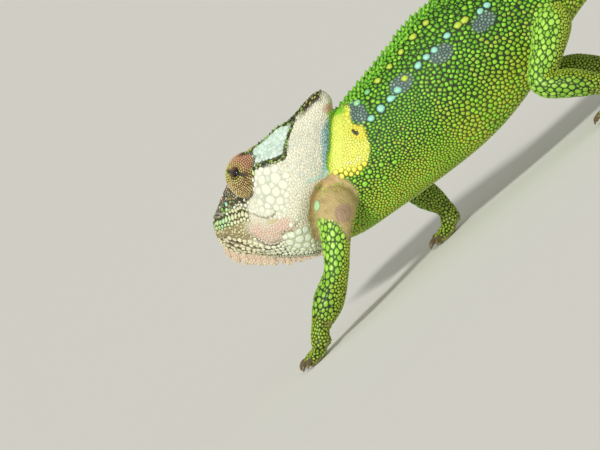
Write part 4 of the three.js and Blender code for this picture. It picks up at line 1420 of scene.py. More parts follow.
    def trunk(self, s: Sites) -> Look:
        """Green granules, small and yellower down the flank, larger up under the crest."""
        x, _, z = s.points.T
        marks, turn = self.marks, s.unwrap[:, 1]
        down = np.minimum(turn, 1 - turn) * 2
        near = step(30, 20, x)
        high, low = step(0.42, 0.2, down), step(0.42, 0.72, down)
        radius = mix(mix(0.27, 0.38, 1 - near), mix(0.36, 0.48, 1 - near), high)
        radius = mix(radius, mix(0.245, 0.38, 1 - near), low)
        out = Look.of(len(x), radius, Paint.GREEN, Paint.MOSS, (0.85, 0, -0.5),
                      height=0.6 * radius, stretch=1.1, gap=mix(0.1, 0.075, near))
        out.blend(step(0.5, 0.82, down), under=rgb(92, 108, 24))
        band = np.sin(0.42 * x + 1.1 * np.sin(0.23 * x)) * step(0.1, 0.3, down)
        blotch = np.maximum.reduce([
            oval(x, z, (13.2, 29.3), (1.7, 2.1)),
            *(oval(x, z, (cx, 29.3 - 0.05 * cx), (2.4, 1.5)) for cx in (22.5, 31.5, 41)),
        ])
        out.blend(0.9 * blotch, under=rgb(84, 102, 108), radius=0.26)
        gold = inside(x, z, marks.yellow, 0.2)
        plates = gold * step(1.0, 0.7, line_distance(x, z, marks.yellow_edge))
        pale = gold * step(0.4, 0.2, line_distance(x, z, marks.pale_line)) * (s.chance > 0.3)
        spot = oval(x, z, (10.5, 26.8), (0.38, 0.62))
        out.tint[:] = over(
            Paint.GREEN,
            (rgb(184, 210, 48), step(0.38, 0.74, down)),
            (Paint.BRIGHT, 0.7 * (s.chance > 0.72)),
            (Paint.LIME, 0.8 * (s.chance < 0.2) * step(0.3, 0.5, down)),
            (Paint.LEAF, 0.4 * step(0.1, 0.9, band)),
            (mix(Paint.SLATE, rgb(150, 166, 166), s.chance), 0.8 * blotch),
            (mix(Paint.YELLOW, Paint.GOLD, (s.chance > 0.6) * 0.35), gold),
            (Paint.GOLD, 0.6 * plates),
            (rgb(236, 232, 190), 0.65 * pale),
            (rgb(244, 226, 40), 0.85 * oval(x, z, (10.9, 26.4), (1.3, 1.7))),
            (Paint.BLACK, spot),
            (mix(Paint.YELLOW_GREEN, Paint.CREAM, 0.35), step(0.9, 0.97, down)),
        )
        net = mix(rgb(206, 204, 62), rgb(168, 196, 40), step(6, 2, x))
        out.blend(gold * (1 - 0.8 * plates), under=net)
        lobe = step(0.3, 0.1, line_distance(x, z, marks.golden))
        out.blend(gold * lobe, under=rgb(150, 182, 44))
        out.blend(spot, under=Paint.BLACK)
        out.blend(gold, radius=0.21, peak=-0.8)
        out.blend(np.maximum(plates, gold * step(28.2, 29.2, z)), radius=0.4)
        out.blend(gold * (1 - plates), height=0.08, gap=0.03)
        return out

    def tail(self, s: Sites) -> Look:
        """Green granules in rings, paler below."""
        along, turn = s.unwrap.T
        reach = along * TAIL.length
        radius = mix(0.46, 0.3, step(20, 80, reach))
        out = Look.of(len(reach), radius, Paint.GREEN, Paint.MOSS, peak=0.25, gap=0.1)
        below = np.cos(2 * math.pi * turn)
        rings = step(0.2, 0.8, np.sin(reach * 0.62)) * step(10, 24, reach)
        out.tint[:] = over(
            Paint.GREEN,
            (Paint.YELLOW_GREEN, step(0.2, -0.7, below)),
            (Paint.BRIGHT, 0.6 * (s.chance > 0.7)),
            (mix(Paint.MOSS, Paint.OLIVE, 0.6), 0.5 * rings),
        )
        return out

    def leg(self, s: Sites) -> Look:
        """Large pale ovals down the front and outside, small yellow-green ones behind."""
        share = s.unwrap[:, 0]
        front = self.marks.arm_front(s)
        wrist = step(0.68, 0.8, share)
        out = Look.of(
            len(share), mix(mix(0.25, 0.56, front), 0.27, wrist), Paint.BRIGHT, Paint.MOSS,
            height=mix(0.14, 0.19, front * (1 - wrist)), stretch=mix(1.05, 1.25, front),
            gap=0.065, peak=-0.6,
        )
        for number in np.unique(s.form):
            chosen, tube = s.form == number, FORMS[number]
            out.lie[chosen] = tube.along[(share[chosen] * (tube.samples - 1)).astype(int)]
        pale = mix(Paint.BRIGHT, Paint.PALE_GREEN, 0.35 + 0.6 * s.chance)
        base = mix(mix(Paint.YELLOW_GREEN, Paint.LIME, s.chance), pale, front)
        base = mix(base, base * [0.66, 0.7, 0.45], step(0.35, 0.7, share))
        out.tint[:] = mix(base, 0.85 * np.array(Paint.YELLOW_GREEN), 0.7 * wrist)
        out.blend(0.9 * front * step(0.7, 0.4, share), under=rgb(62, 100, 18))
        return out

    def foot(self, s: Sites) -> Look:
        """Small olive-green scales, more olive where they face down."""
        down = s.normals[:, 2]
        out = Look.of(len(down), 0.29, Paint.YELLOW_GREEN, Paint.MOSS, height=0.14)
        base = over(
            Paint.YELLOW_GREEN,
            (Paint.LIME, 0.7 * s.chance),
            (Paint.OLIVE, 0.55 * step(0.1, -0.4, down)),
            (Paint.PALE_GREEN, 0.6 * (s.chance > 0.75)),
        )
        out.tint[:] = base * [0.78, 0.76, 0.5]
        out.blend(step(-0.3, -0.7, down), under=rgb(158, 156, 96))
        return out

    def nape(self, s: Sites, out: Look) -> None:
        """The blue and green lines that run down behind the casque."""
        a, _, h = s.head.T
        chosen = np.isin(s.zone, (Zone.HEAD, Zone.TRUNK))
        past = self.marks.behind(a, h)
        tall = step(3.3, 3.9, h) * step(14.4, 13.8, h)
        neck = chosen * step(0.0, 0.06, past) * step(2.6, 2.0, past) * tall
        stray = (s.zone == Zone.TRUNK) * step(0.05, -0.05, past) * step(1.8, 2.4, h)
        out.blend(stray, tint=Paint.CREAM, under=rgb(206, 196, 172))
        lemon = over(Paint.LEMON_GREEN, (Paint.YELLOW, step(0.15, 0.5, past)),
                     (Paint.BRIGHT, step(12.6, 13.6, h)))
        out.blend(neck, tint=lemon, under=0.8 * lemon)
        wide = np.interp(h, (3, 3.8, 4.6, 5.8, 7.3, 9.7, 11.5, 12.8),
                         (2.0, 1.5, 0.9, 0.6, 0.8, 1.15, 1.0, 0.4))
        share = np.clip(-past / wide, 0, 1)
        blue = chosen * (past < 0.03) * step(1.0, 0.8, share + 0.25 * (s.chance - 0.5))
        blue = blue * step(2.9, 3.5, h) * step(13.4, 12.6, h)
        navy = (s.chance > 0.84) * step(0.75, 0.5, share)
        line = over(Paint.STEEL, (rgb(84, 122, 158), navy),
                    (rgb(140, 222, 212), step(6, 5, h)), (rgb(204, 244, 228), step(4.6, 4.1, h)))
        pale = np.clip((s.chance < 0.4) + 0.6 * share, 0, 1) * step(0.1, 0.3, share)
        thin = chosen * step(0.14, 0.08, np.abs(past - 0.04)) * tall
        out.blend(blue, tint=mix(line, rgb(214, 230, 222), pale))
        out.blend(0.9 * blue, under=mix(0.74 * line, 0.92 * line, step(5, 4, h)))
        out.blend(0.85 * thin, tint=mix(Paint.BRIGHT, Paint.LEAF, s.chance))
        out.blend(0.7 * thin, under=Paint.FOREST)
        fine = np.maximum.reduce([blue, thin, neck, stray])
        out.blend(fine, radius=0.2, height=0.08, gap=0.035)

    def shoulder(self, s: Sites, out: Look) -> None:
        """Tan skin with a mauve shade, creased, with a few pale green dots."""
        bare = self.marks.shoulder(s)
        x, _, z = s.points.T
        tan = over(
            Paint.TAN,
            (Paint.MAUVE, 0.8 * oval(x, z, (-0.4, 17.4), (1.8, 1.6))),
            (Paint.SALMON, 0.3 * oval(x, z, (2.2, 23.4), (1.8, 1.2))),
            (Paint.OLIVE, 0.3 * step(0.2, 1.0, np.sin(2.1 * x + z) * np.sin(1.7 * z))),
        )
        dots = bare * (s.chance > 0.9) * oval(x, z, (0.6, 21.8), (2.2, 1.0))
        out.blend(bare, tint=tan, under=tan, radius=0.19)
        out.blend(0.8 * dots, tint=Paint.LIME)
        out.blend(bare * (dots < 0.5), height=-0.02)


# ------------------------------------------------------------------ the skin


FORMS: list[Form] = [HEAD, TRUNK, TAIL]
for _number, _leg in enumerate(LEGS):
    FORMS.extend(_leg.forms(_number))


@dataclass
class Skin:
    """One skin over every form of flesh, knitted from them and then modelled."""

    voxel: float = 0.34
    coat_depth: float = 0.16
    smoothing: int = 3
    joint_smoothing: int = 14

    def build(self) -> Surface:
        """Knits, eases, folds and insets the skin.

        Returns:
            The finished surface, in the animal's frame.
        """
        shells = [form.pull() for form in FORMS]
        flesh = joined(shells)
        self.owner = np.repeat(np.arange(len(shells)), [len(shell.points) for shell in shells])
        self.landmarks = tree_of(flesh.points)
        block = linked("forms", filled("forms", flesh))
        knit = block.modifiers.new("Knit", "REMESH")
        knit.mode = "VOXEL"
        knit.voxel_size = self.voxel
        graph = bpy.context.evaluated_depsgraph_get()
        whole = bpy.data.meshes.new_from_object(block.evaluated_get(graph))
        bpy.data.objects.remove(block)
        self.points = read(whole.vertices, "co", 3)
        self.loops = read(whole.loops, "vertex_index", kind=int)
        self.starts = read(whole.polygons, "loop_start", kind=int)
        self.edges = read(whole.edges, "vertices", 2, int)
        self.mesh = whole
        self.ease()
        self.fold()
        self.inset()
        self.surface = Surface(Shell(self.points, self.loops, self.starts))
        return self.surface

    def normals(self) -> Array:
        """The outward direction at each place."""
        self.mesh.vertices.foreach_set("co", self.points.astype(np.float32).ravel())
        self.mesh.update()
        return read(self.mesh.vertex_normals, "vector", 3)

    def relax(self, weight: Array, rounds: int) -> None:
        """Moves each place towards the middle of its neighbours by a weight."""
        a, b = self.edges.T
        count = np.bincount(a, minlength=len(self.points)) + np.bincount(
            b, minlength=len(self.points)
        )
        for _ in range(rounds):
            total = np.empty_like(self.points)
            for k in range(3):
                total[:, k] = np.bincount(
                    a, self.points[b, k], len(self.points)
                ) + np.bincount(b, self.points[a, k], len(self.points))
            middle = total / count[:, None]
            self.points = self.points + (middle - self.points) * weight[:, None]

    def ease(self) -> None:
        """Evens the knitting, and fills the corners where the legs leave."""
        self.relax(np.full(len(self.points), 0.5), self.smoothing)
        near = np.zeros(len(self.points))
        for leg in LEGS:
            for station in leg.stations[:2]:
                gap = np.linalg.norm(self.points - np.array(station[:3]), axis=1)
                near = np.maximum(near, step(8.5, 5.5, gap))
        self.relax(0.5 * near, self.joint_smoothing)

    def fold(self) -> None:
        """Presses in the mouth, the throat's folds and the fold round each turret."""
        normals = self.normals()
        a, o, h = HEAD.local(self.points).T
        on_head = np.array([
            self.owner[self.landmarks.find(p)[1]] == 0 for p in self.points.tolist()
        ])
        deep = 0.32 * step(0.42, 0.0, line_distance(a, h, HEAD.mouth))
        marks = Markings()
        for line in (*marks.bands, marks.hook):
            deep = np.maximum(deep, 0.34 * step(0.5, 0.05, line_distance(a, h, line)))
        deep = np.maximum(deep, 0.6 * step(0.8, 0.1, line_distance(a, h, marks.bands[0][3:])))
        for side in (LEFT, RIGHT):
            gap = TURRET.gap(self.points, side)
            behind = unit(self.points - TURRET.centre(side)) @ HEAD.axes[0]
            beside = step(0.8, 1.4, side * o)
            lid = step(0.9, 0.2, gap) * (gap > -1.6) * beside
            deep = np.maximum(deep, 0.45 * lid * step(0.25, -0.1, behind))
            rim = step(1.5, 0.5, gap) * step(-0.9, -0.1, gap) * beside
            deep = deep - 0.8 * rim * step(0.1, 0.5, behind)
            back, out, high = marks.nostril
            pit = np.linalg.norm(self.points - HEAD.place(back, side * out, high), axis=1)
            deep = deep + 0.5 * step(0.65, 0.1, pit)
        self.points = self.points - normals * (deep * on_head)[:, None]

    def inset(self) -> None:
        """Sinks the skin by the depth of the coat, and keeps it off the floor."""
        self.points = self.points - self.normals() * self.coat_depth
        self.points[:, 2] = np.maximum(self.points[:, 2], FLOOR_GAP)

    def sites(self, points: Array, normals: Array, chance: Array) -> Sites:
        """What the coat's rules read of places on the skin."""
        form = np.array([self.owner[self.landmarks.find(p)[1]] for p in points.tolist()])
        zones = np.array([int(f.zone) for f in FORMS])
        unwrap = np.zeros((len(points), 2))
        for number in np.unique(form):
            chosen = form == number
            unwrap[chosen] = FORMS[number].unwrap(points[chosen])
        return Sites(points, normals, form, zones[form], unwrap, HEAD.local(points), chance)

    def bake_map(self, form: Array) -> Array:
        """The unwrap's place of each corner, each face laid whole in its form's patch."""
        sizes = np.diff(np.append(self.starts, len(self.loops)))
        face = np.repeat(np.arange(len(self.starts)), sizes)
        owner = form[self.loops[self.starts]][face]
        uv = np.empty((len(self.loops), 2))
        for number in np.unique(owner):
            chosen = owner == number
            uv[chosen] = FORMS[number].unwrap(self.points[self.loops[chosen]])
        first = np.full(len(self.starts), -1.0)
        np.maximum.at(first, face, uv[:, 1])
        uv[:, 1] += (first[face] - uv[:, 1] > 0.5) * 1.0
        placed = np.empty_like(uv)
        for number in np.unique(owner):
            chosen = owner == number
            placed[chosen] = FORMS[number].patch.at(uv[chosen])
        return placed

    def dress(self, coat: Coat, finishes: Finishes) -> bpy.types.Object:
        """Makes the skin's piece, coloured as the coat's under-colour."""
        normals = self.normals()
        seeded = np.random.default_rng(11).random(len(self.points))
        sites = self.sites(self.points, normals, np.full(len(self.points), 0.5))
        look = coat.look(sites)
        bare = coat.marks.shoulder(sites)
        x, y, z = self.points.T
        flow = np.hypot(np.where(y < 0, x, x - 3.6) + 9.0, 0.8 * (z - 18.5))
        tint = look.under * (0.9 + 0.2 * seeded)[:, None]
        obj = mesh_object(
            "skin", self.points, self.loops, self.starts, tint, self.bake_map(sites.form),
            {"Flow": flow, "Crease": bare},
        )
        nodes = [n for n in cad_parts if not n.startswith("eye")]
        return settle(obj, "body_skin", finishes.skin, *nodes)


# ------------------------------------------------------------------ scales


@dataclass
class Seed:
    """One scale with a place and size of its own."""

    place: Array
    radius: float
    height: Optional[float] = None
    stretch: Optional[float] = None
    peak: Optional[float] = None
    lie: Optional[Array] = None
    tint: Optional[tuple[float, float, float]] = None
    under: Optional[tuple[float, float, float]] = None
    room: float = 1.0


@dataclass
class ScaleShape:
    """The rings of one raised scale: their reach and height, for a dome and for a cone."""

    sides: int = 8
    reach: tuple[float, float] = (0.86, 0.5)
    flat_reach: tuple[float, float] = (0.93, 0.74)
    dome: tuple[float, float] = (0.62, 0.92)
    cone: tuple[float, float] = (0.3, 0.62)
    sink: float = 0.12
    cap: float = 1.6


class ScaleBed:
    """A field of close-set scales over a surface, each grown to meet its neighbours."""

    def __init__(self, surface: Surface, shape: ScaleShape) -> None:
        """Keeps the surface that the scales stand on."""
        self.surface = surface
        self.shape = shape

    @staticmethod
    def scatter(points: Array, radii: Array, lie: Array, stretch: Array,
                tight: float) -> list[int]:
        """Chooses points that keep clear of each other, first come first served.

        Args:
            points: candidates, in the order they are tried.
            radii: the half size wanted at each.
            lie: the direction along each.
            stretch: how much longer each is than wide, as a share both ways.
            tight: the share of two half sizes that they keep apart.

        Returns:
            The numbers of the chosen candidates.
        """
        cell = 2 * float((radii * stretch).max()) * tight
        grid: dict[tuple[int, int, int], list[tuple[float, float, float, float]]] = {}
        chosen = []
        keys = np.floor_divide(points, cell).astype(int).tolist()
        around = [(i, j, k) for i in (-1, 0, 1) for j in (-1, 0, 1) for k in (-1, 0, 1)]
        rows = zip(points.tolist(), radii.tolist(), lie.tolist(), stretch.tolist(), keys)
        for number, ((x, y, z), r, (lx, ly, lz), s, (kx, ky, kz)) in enumerate(rows):
            clear = True
            for i, j, k in around:
                for qx, qy, qz, qr in grid.get((kx + i, ky + j, kz + k), ()):
                    dx, dy, dz = x - qx, y - qy, z - qz
                    far = (r + qr) * tight
                    along = (dx * lx + dy * ly + dz * lz) ** 2
                    rest = dx * dx + dy * dy + dz * dz - along
                    if along / (s * s) + rest * s * s < far * far:
                        clear = False
                        break
                if not clear:
                    break
            if clear:
                grid.setdefault((kx, ky, kz), []).append((x, y, z, r))
                chosen.append(number)
        return chosen

    def neighbours(self, points: Array, count: int) -> Array:
        """The numbers of the nearest other points to each."""
        tree = tree_of(points)
        found = [[n for _, n, _ in tree.find_n(p, count + 1)] for p in points.tolist()]
        return np.array(found)[:, 1:]

    def spread(self, points: Array, radii: Array, lie: Array, stretch: Array, fixed: int,
               rounds: int) -> tuple[Array, Array]:
        """Pushes crowded points apart along the surface; the first ones stay.

        Returns:
            The points and the outward directions there.
        """
        for _ in range(rounds):
            near = self.neighbours(points, 8)
            away = points[:, None] - points[near]
            along = (away * lie[:, None]).sum(-1)
            rest = np.clip((away**2).sum(-1) - along**2, 0, None)
            gap = np.sqrt((along / stretch[:, None]) ** 2 + rest * stretch[:, None] ** 2)
            wanted = (radii[:, None] + radii[near]) * 1.02
            push = np.clip(wanted - gap, 0, None) / np.maximum(gap, 1e-6)
            move = (away * push[..., None]).sum(1) * 0.28
            move[:fixed] = 0
            points, _ = self.surface.nearest(points + move)
        return self.surface.nearest(points)

    def outlines(self, points: Array, normals: Array, look: Look) -> tuple[Array, Array, Array]:
        """How far each scale reaches in each direction before it meets its neighbours.

        Returns:
            The reach by scale and direction, and the two directions across each scale.
        """
        lie = look.lie - normals * (look.lie * normals).sum(-1, keepdims=True)
        weak = np.linalg.norm(lie, axis=1) < 0.05
        lie[weak] = np.cross(normals[weak], [0.0, 1.0, 0.0])
        along = unit(lie)
        across = np.cross(normals, along)
        near = self.neighbours(points, 10)
        offset = points[near] - points[:, None]
        squeeze = np.stack([1 / look.stretch, look.stretch], -1)
        flat = np.stack([(offset * v[:, None]).sum(-1) for v in (along, across)], -1)
        flat = flat * squeeze[:, None]
        gap = np.linalg.norm(flat, axis=-1)
        share = look.radius[:, None] / (look.radius[:, None] + look.radius[near])
        wall = np.maximum(gap * share, 0.02)
        facing = flat / np.maximum(gap, 1e-6)[..., None]
        angle = np.arange(self.shape.sides) * 2 * math.pi / self.shape.sides
        spoke = np.stack([np.cos(angle), np.sin(angle)], -1)[None] * squeeze[:, None]
        cosine = np.einsum("nkc,nmc->nkm", facing, spoke)
        reach = np.where(cosine > 0.12, wall[..., None] / np.maximum(cosine, 0.12), 1e9).min(1)
        cap = self.shape.cap * look.radius[:, None] / np.linalg.norm(spoke, axis=-1)
        limit = np.minimum(reach, cap) - look.gap[:, None] / 2
        eased = 0.7 * limit + 0.15 * (np.roll(limit, 1, 1) + np.roll(limit, -1, 1))
        return np.maximum(np.minimum(limit, eased), 0.06), along, across

    def solids(self, points: Array, normals: Array, look: Look, roots: Array) -> "ScaleSet":
        """Every scale as a closed raised shape on the surface."""
        shape, n = self.shape, len(points)
        reach, along, across = self.outlines(points, normals, look)
        angle = np.arange(shape.sides) * 2 * math.pi / shape.sides
        cos, sin = np.cos(angle), np.sin(angle)
        spoke = cos[None, :, None] * along[:, None] + sin[None, :, None] * across[:, None]
        rim = points[:, None] + spoke * reach[..., None]
        foot, rim_normal = self.surface.nearest(rim.reshape(-1, 3))
        foot = foot.reshape(rim.shape)
        drop = rim_normal.reshape(rim.shape) * 0.5 + normals[:, None] * 0.5
        tall = look.height[:, None, None]
        rings = [foot - drop * shape.sink]
        point, flat = np.clip(look.peak, 0, 1), np.clip(-look.peak, 0, 1)
        for round_reach, wide, dome, cone in zip(
            shape.reach, shape.flat_reach, shape.dome, shape.cone
        ):
            share = mix(round_reach, wide, flat)[:, None, None]
            lift = mix(mix(dome, cone, point), 0.5 + dome / 2, flat)[:, None, None] * tall
            rings.append(points[:, None] + (foot - points[:, None]) * share
                         + normals[:, None] * lift)
        apex = (points + normals * look.height[:, None])[:, None]
        places = np.concatenate([*rings, apex], 1)
        # Painted light: the foot ring is the under-colour darkened by a fifth, painted shade where
        # each scale meets the skin; the top ring and the apex are lifted a little above the tint,
        # a painted highlight on each crown.
        dark = mix(look.under, look.tint, np.full(n, 0.2)) * 0.8
        ring_tones_with_painted_light = [dark, mix(look.under, look.tint, np.full(n, 0.8)), look.tint * 1.02]
        tints = [np.repeat(shade[:, None], shape.sides, 1) for shade in ring_tones_with_painted_light]
        tints.append((look.tint * 1.06)[:, None])
        disc = np.stack([cos, sin], -1) * TUFT
        spots = [disc * share for share in (1.0, *shape.reach)] + [np.zeros((1, 2))]
        uv = roots[:, None] + np.concatenate(spots)[None]
        return ScaleSet(shape.sides, places, np.concatenate(tints, 1), uv)


@dataclass
class ScaleSet:
    """Scales as arrays: places, colours and unwrap places, scale by scale."""

    sides: int
    places: Array
    tints: Array
    spots: Array

    LIMIT = 190_000

    def corners(self) -> tuple[Array, Array]:
        """The corners of one scale's faces, and how many each face has."""
        m = self.sides
        rings = [list(range(k * m, (k + 1) * m)) for k in range(3)]
        faces: list[list[int]] = [rings[0][::-1]]
        for low, high in zip(rings, rings[1:]):
            faces += [
                [low[i], low[(i + 1) % m], high[(i + 1) % m], high[i]] for i in range(m)
            ]
        faces += [[rings[2][i], rings[2][(i + 1) % m], 3 * m] for i in range(m)]
        return np.array([c for f in faces for c in f]), np.array([len(f) for f in faces])

    def pieces(self, name: str, chosen: Array) -> list[bpy.types.Object]:
        """The chosen scales as one piece, or as several under the limit."""
        corners, sizes = self.corners()
        room = self.LIMIT // int((sizes - 2).sum())
        order = chosen[np.argsort(self.places[chosen, -1, 0])]
        parts = np.array_split(order, max(1, math.ceil(len(order) / room)))
        made = []
        for number, part in enumerate(parts):
            shell = repeated(self.places[part], corners, np.cumsum(sizes) - sizes)
            uv = self.spots[part].reshape(-1, 2)[shell.loops]
            label = name if len(parts) == 1 else f"{name}_{number + 1}"
            made.append(mesh_object(label, *shell, self.tints[part].reshape(-1, 3), uv))
        return made


@dataclass
class BodyScales:
    """The coat of scales over the whole skin."""

    skin: Skin
    coat: Coat
    tight: float = 0.86
    crowd: float = 6.5
    fill: float = 0.46
    fill_from: float = 0.42
    rounds: int = 5
    seed: int = 7

    def on_cheek(self, back: float, high: float, side: int) -> Optional[Array]:
        """The place on one side of the head at a place along it and a height."""
        start = HEAD.place(back, side * 16.0, high)
        return self.skin.surface.met(start, HEAD.axes[1] * -side)

    def on_flank(self, x: float, z: float, side: int, start: float = 20.0) -> Optional[Array]:
        """The place on one side of the body that a ray from beside it meets first."""
        from_there = np.array([x, side * start, z])
        return self.skin.surface.met(from_there, np.array([0, -side, 0]))

    def seeds(self) -> list[Seed]:
        """The scales that have places of their own."""
        found: list[Seed] = []
        up = HEAD.axes[2]

        def add(back: float, high: float, side: int, radius: float, **kinds: object) -> None:
            """Adds one scale on a side of the head."""
            place = self.on_cheek(back, high, side)
            if place is not None:
                found.append(Seed(place, radius, **kinds))

        def labial(place: Optional[Array], back: float, radius: float, stretch: float,
                   row: int) -> None:
            """Adds one plate of the lips, greener towards the snout."""
            if place is None:
                return
            share = step(3.4, 6.6, np.array(back))
            greens = (rgb(196, 232, 148), rgb(184, 236, 190), rgb(204, 236, 176))
            tint = mix(greens[int(back / 0.8 + row) % 3], rgb(228, 232, 190), share)
            found.append(Seed(place, radius, height=0.2, stretch=stretch, peak=-0.35,
                              lie=unit(up - 0.12 * HEAD.axes[0]), tint=tint,
                              under=mix(Paint.BLACK_OLIVE, Paint.CHIN_BROWN, 0.7 * share)))

        rows = ((-0.66, 0.42, 1.36, 0.78, 2.0, 0), (-1.6, 0.34, 1.2, 0.76, 1.6, 1),
                (0.5, 0.29, 1.1, 0.62, 5.6, 2))
        for side in (LEFT, RIGHT):
            for drop, radius, stretch, pitch, start, row in rows:
                for back in np.arange(start, 9.5, pitch):
                    line = float(np.interp(back, *zip(*HEAD.mouth)))
                    shift = 0.06 * math.sin(7.3 * back + row)
                    labial(self.on_cheek(back + shift, line + drop - shift, side), back,
                           radius * (1 + shift), stretch, row)
            for back, high, radius, stretch, tint in (
                (5.05, 2.75, 0.38, 1.5, rgb(176, 234, 196)),
                (4.9, 1.8, 0.32, 1.2, rgb(196, 236, 176)),
                (3.9, 2.05, 0.34, 1.1, rgb(150, 192, 92)),
                (4.15, 1.35, 0.3, 1.0, rgb(146, 184, 92)),
                (5.5, 1.55, 0.27, 1.1, rgb(178, 196, 112)), (9.0, 2.7, 0.36, 1.35, Paint.CREAM),
                (9.6, 3.3, 0.32, 1.3, Paint.CREAM), (9.2, 1.85, 0.34, 1.2, Paint.CREAM),
                (10.0, 2.35, 0.34, 1.25, Paint.CREAM), (8.4, 2.05, 0.32, 1.3, Paint.CREAM),
                (4.4, 4.4, 0.3, 1.3, Paint.CREAM), (4.05, 3.85, 0.28, 1.3, Paint.PINK),
                (3.7, 3.35, 0.3, 1.3, rgb(150, 126, 116)), (3.3, 2.3, 0.32, 1.2, Paint.WARM_CREAM),
                (13.25, 7.35, 0.4, 1.7, rgb(206, 234, 160)), (12.7, 6.1, 0.36, 1.4, Paint.CREAM),
            ):
                add(back, high, side, radius, height=0.16, stretch=stretch, peak=-0.4,
                    lie=unit(up - 0.2 * HEAD.axes[0]), tint=tint, under=Paint.BLACK_OLIVE)
            for back, high, radius in (
                (17.1, 5.5, 0.86), (14.8, 3.9, 0.8), (16.5, 3.1, 0.72), (12.6, 1.9, 0.56),
                (13.8, -0.3, 0.62), (14.5, 5.9, 0.62), (18.3, 3.9, 0.66), (14.9, 1.9, 0.66),
                (16.7, 1.2, 0.6), (13.1, 3.9, 0.55), (19.3, 5.5, 0.6), (15.8, 7.1, 0.5),
                (17.5, 7.3, 0.5), (12.6, 0.4, 0.5), (15.6, 0.2, 0.5), (18.3, 2.1, 0.5),
                (11.6, 0.7, 0.36), (12.3, -0.4, 0.34), (10.8, 1.4, 0.34), (14.6, -0.3, 0.3),
            ):
                add(back, high, side, 1.2 * radius, height=0.05, stretch=1.0, peak=-1.0,
                    tint=rgb(236, 240, 218), under=rgb(200, 202, 182), room=1.06)
            for back, high, half, wide, lean in self.throat_rows():
                add(back, high, side, 1.08 * math.sqrt(half * wide), height=0.18,
                    stretch=math.sqrt(half / wide), peak=-0.45, room=1.12,
                    lie=unit(math.cos(lean) * HEAD.axes[0] + math.sin(lean) * HEAD.axes[2]))
            for back in np.arange(8.6, 19.0, 0.46):
                high = float(HEAD.keel(back)) + 0.75
                add(back, high, side, 0.22, height=0.16, stretch=1.35,
                    lie=unit(up - 0.3 * HEAD.axes[0]), tint=rgb(206, 204, 160),
                    under=Paint.GROOVE, room=1.1)
            for back, high, radius in (
                (16.6, -5.3, 0.66), (18.1, -5.1, 0.62), (19.1, -5.0, 0.56), (17.7, -6.5, 0.66),
                (19, -6.7, 0.6), (15.5, -6.7, 0.58), (16.5, -7.7, 0.56), (18.2, -8.0, 0.54),
                (15.2, -5.4, 0.46), (17.3, -3.5, 0.42), (18.6, -2.9, 0.4),
            ):
                add(back, high, side, radius, height=0.1, stretch=1.12, peak=-0.6,
                    tint=rgb(240, 250, 228), under=rgb(206, 212, 178), room=1.08)
        for out in np.arange(-1.5, 1.6, 0.6):
            for drop, radius, stretch, row in ((-0.68, 0.4, 1.3, 0), (0.45, 0.36, 1.1, 2),
                                               (-1.6, 0.32, 1.1, 1), (1.15, 0.3, 1.0, 1)):
                start = HEAD.place(-6.0, out, HEAD.mouth[0][1] + drop)
                place = self.skin.surface.met(start, HEAD.axes[0])
                labial(place, 0.8 * abs(out), radius, stretch, row)
        found += self.tubercles()
        return found

    @staticmethod
    def throat_rows() -> list[tuple[float, float, float, float, float]]:
        """The long scales of the throat's bands: back, high, half sizes and lean."""
        found = []
        chance = np.random.default_rng(17)
        edges = [np.array(band) for band in Markings.bands]
        keel = edges[-1].copy()
        keel[:, 1] = HEAD.keel(keel[:, 0]) + 0.15
        edges.append(keel)
        for number, (upper, lower) in enumerate(zip(edges, edges[1:])):
            middle, wide = (upper + lower) / 2, np.linalg.norm(upper - lower, axis=1)
            run = np.append(0, np.cumsum(np.linalg.norm(np.diff(middle, axis=0), axis=1)))
            at = 0.45 + 0.3 * (number % 2)
            while at < run[-1] - 0.3:
                back, high = (np.interp(at, run, middle[:, k]) for k in (0, 1))
                ahead = [np.interp(at + 0.1, run, middle[:, k]) for k in (0, 1)]
                half = chance.uniform(0.5, 0.66)
                across = min(0.42, 0.43 * float(np.interp(at, run, wide)))
                if across > 0.15 and not (number == 3 and back > 6.5):
                    lean = math.atan2(ahead[1] - high, ahead[0] - back)
                    found.append((back, high, half, across, lean))
                at += half + 0.56
        return found

    def tubercles(self) -> list[Seed]:
        """The large ovals in a row below the crest, and single ones on the shoulders."""
        found: list[Seed] = []
        chance = np.random.default_rng(13)
        ahead = np.array([0.9, 0.0, -0.35])
        for side in (LEFT, RIGHT):
            for x in np.arange(14.0, 58.0, 2.5) + chance.uniform(-0.5, 0.5, 18):
                turn = 0.15 + chance.uniform(-0.008, 0.008)
                place = TRUNK.on(np.array([x]), np.array([turn if side == RIGHT else 1 - turn]))
                place = self.skin.surface.nearest(place)[0][0]
                size = chance.uniform(0.66, 0.86) * (1 - 0.35 * max(0.0, (x - 30) / 30))
                tint = Paint.TURQUOISE if chance.random() < 0.6 else Paint.LIME
                found.append(Seed(place, size, height=0.36, stretch=1.25, lie=ahead, tint=tint))
            for i, x in enumerate((14.1, 16.9, 19.7, 22.9, 26.2, 29.6, 33.0)):
                turn = 0.088 if side == RIGHT else 0.912
                place = TRUNK.on(np.array([x]), np.array([turn]))
                place = self.skin.surface.nearest(place)[0][0]
                tint = (rgb(158, 228, 164), rgb(128, 214, 130), Paint.LIME)[min(i, 2)]
                found.append(Seed(place, 0.7, height=0.4, stretch=1.25, lie=ahead, tint=tint))
            for x, z, size in ((5.9, 18.6, 0.56), (4.9, 20.2, 0.44), (6.7, 20.4, 0.46),
                               (8.0, 19.8, 0.5), (7.1, 19.3, 0.42), (8.6, 18.2, 0.46),
                               (10.4, 19.4, 0.5), (9.4, 17.2, 0.46), (12.6, 18.2, 0.46)):
                place = self.on_flank(x, z, side)
                if place is not None:
                    found.append(Seed(place, size, height=0.3, tint=Paint.BRIGHT))
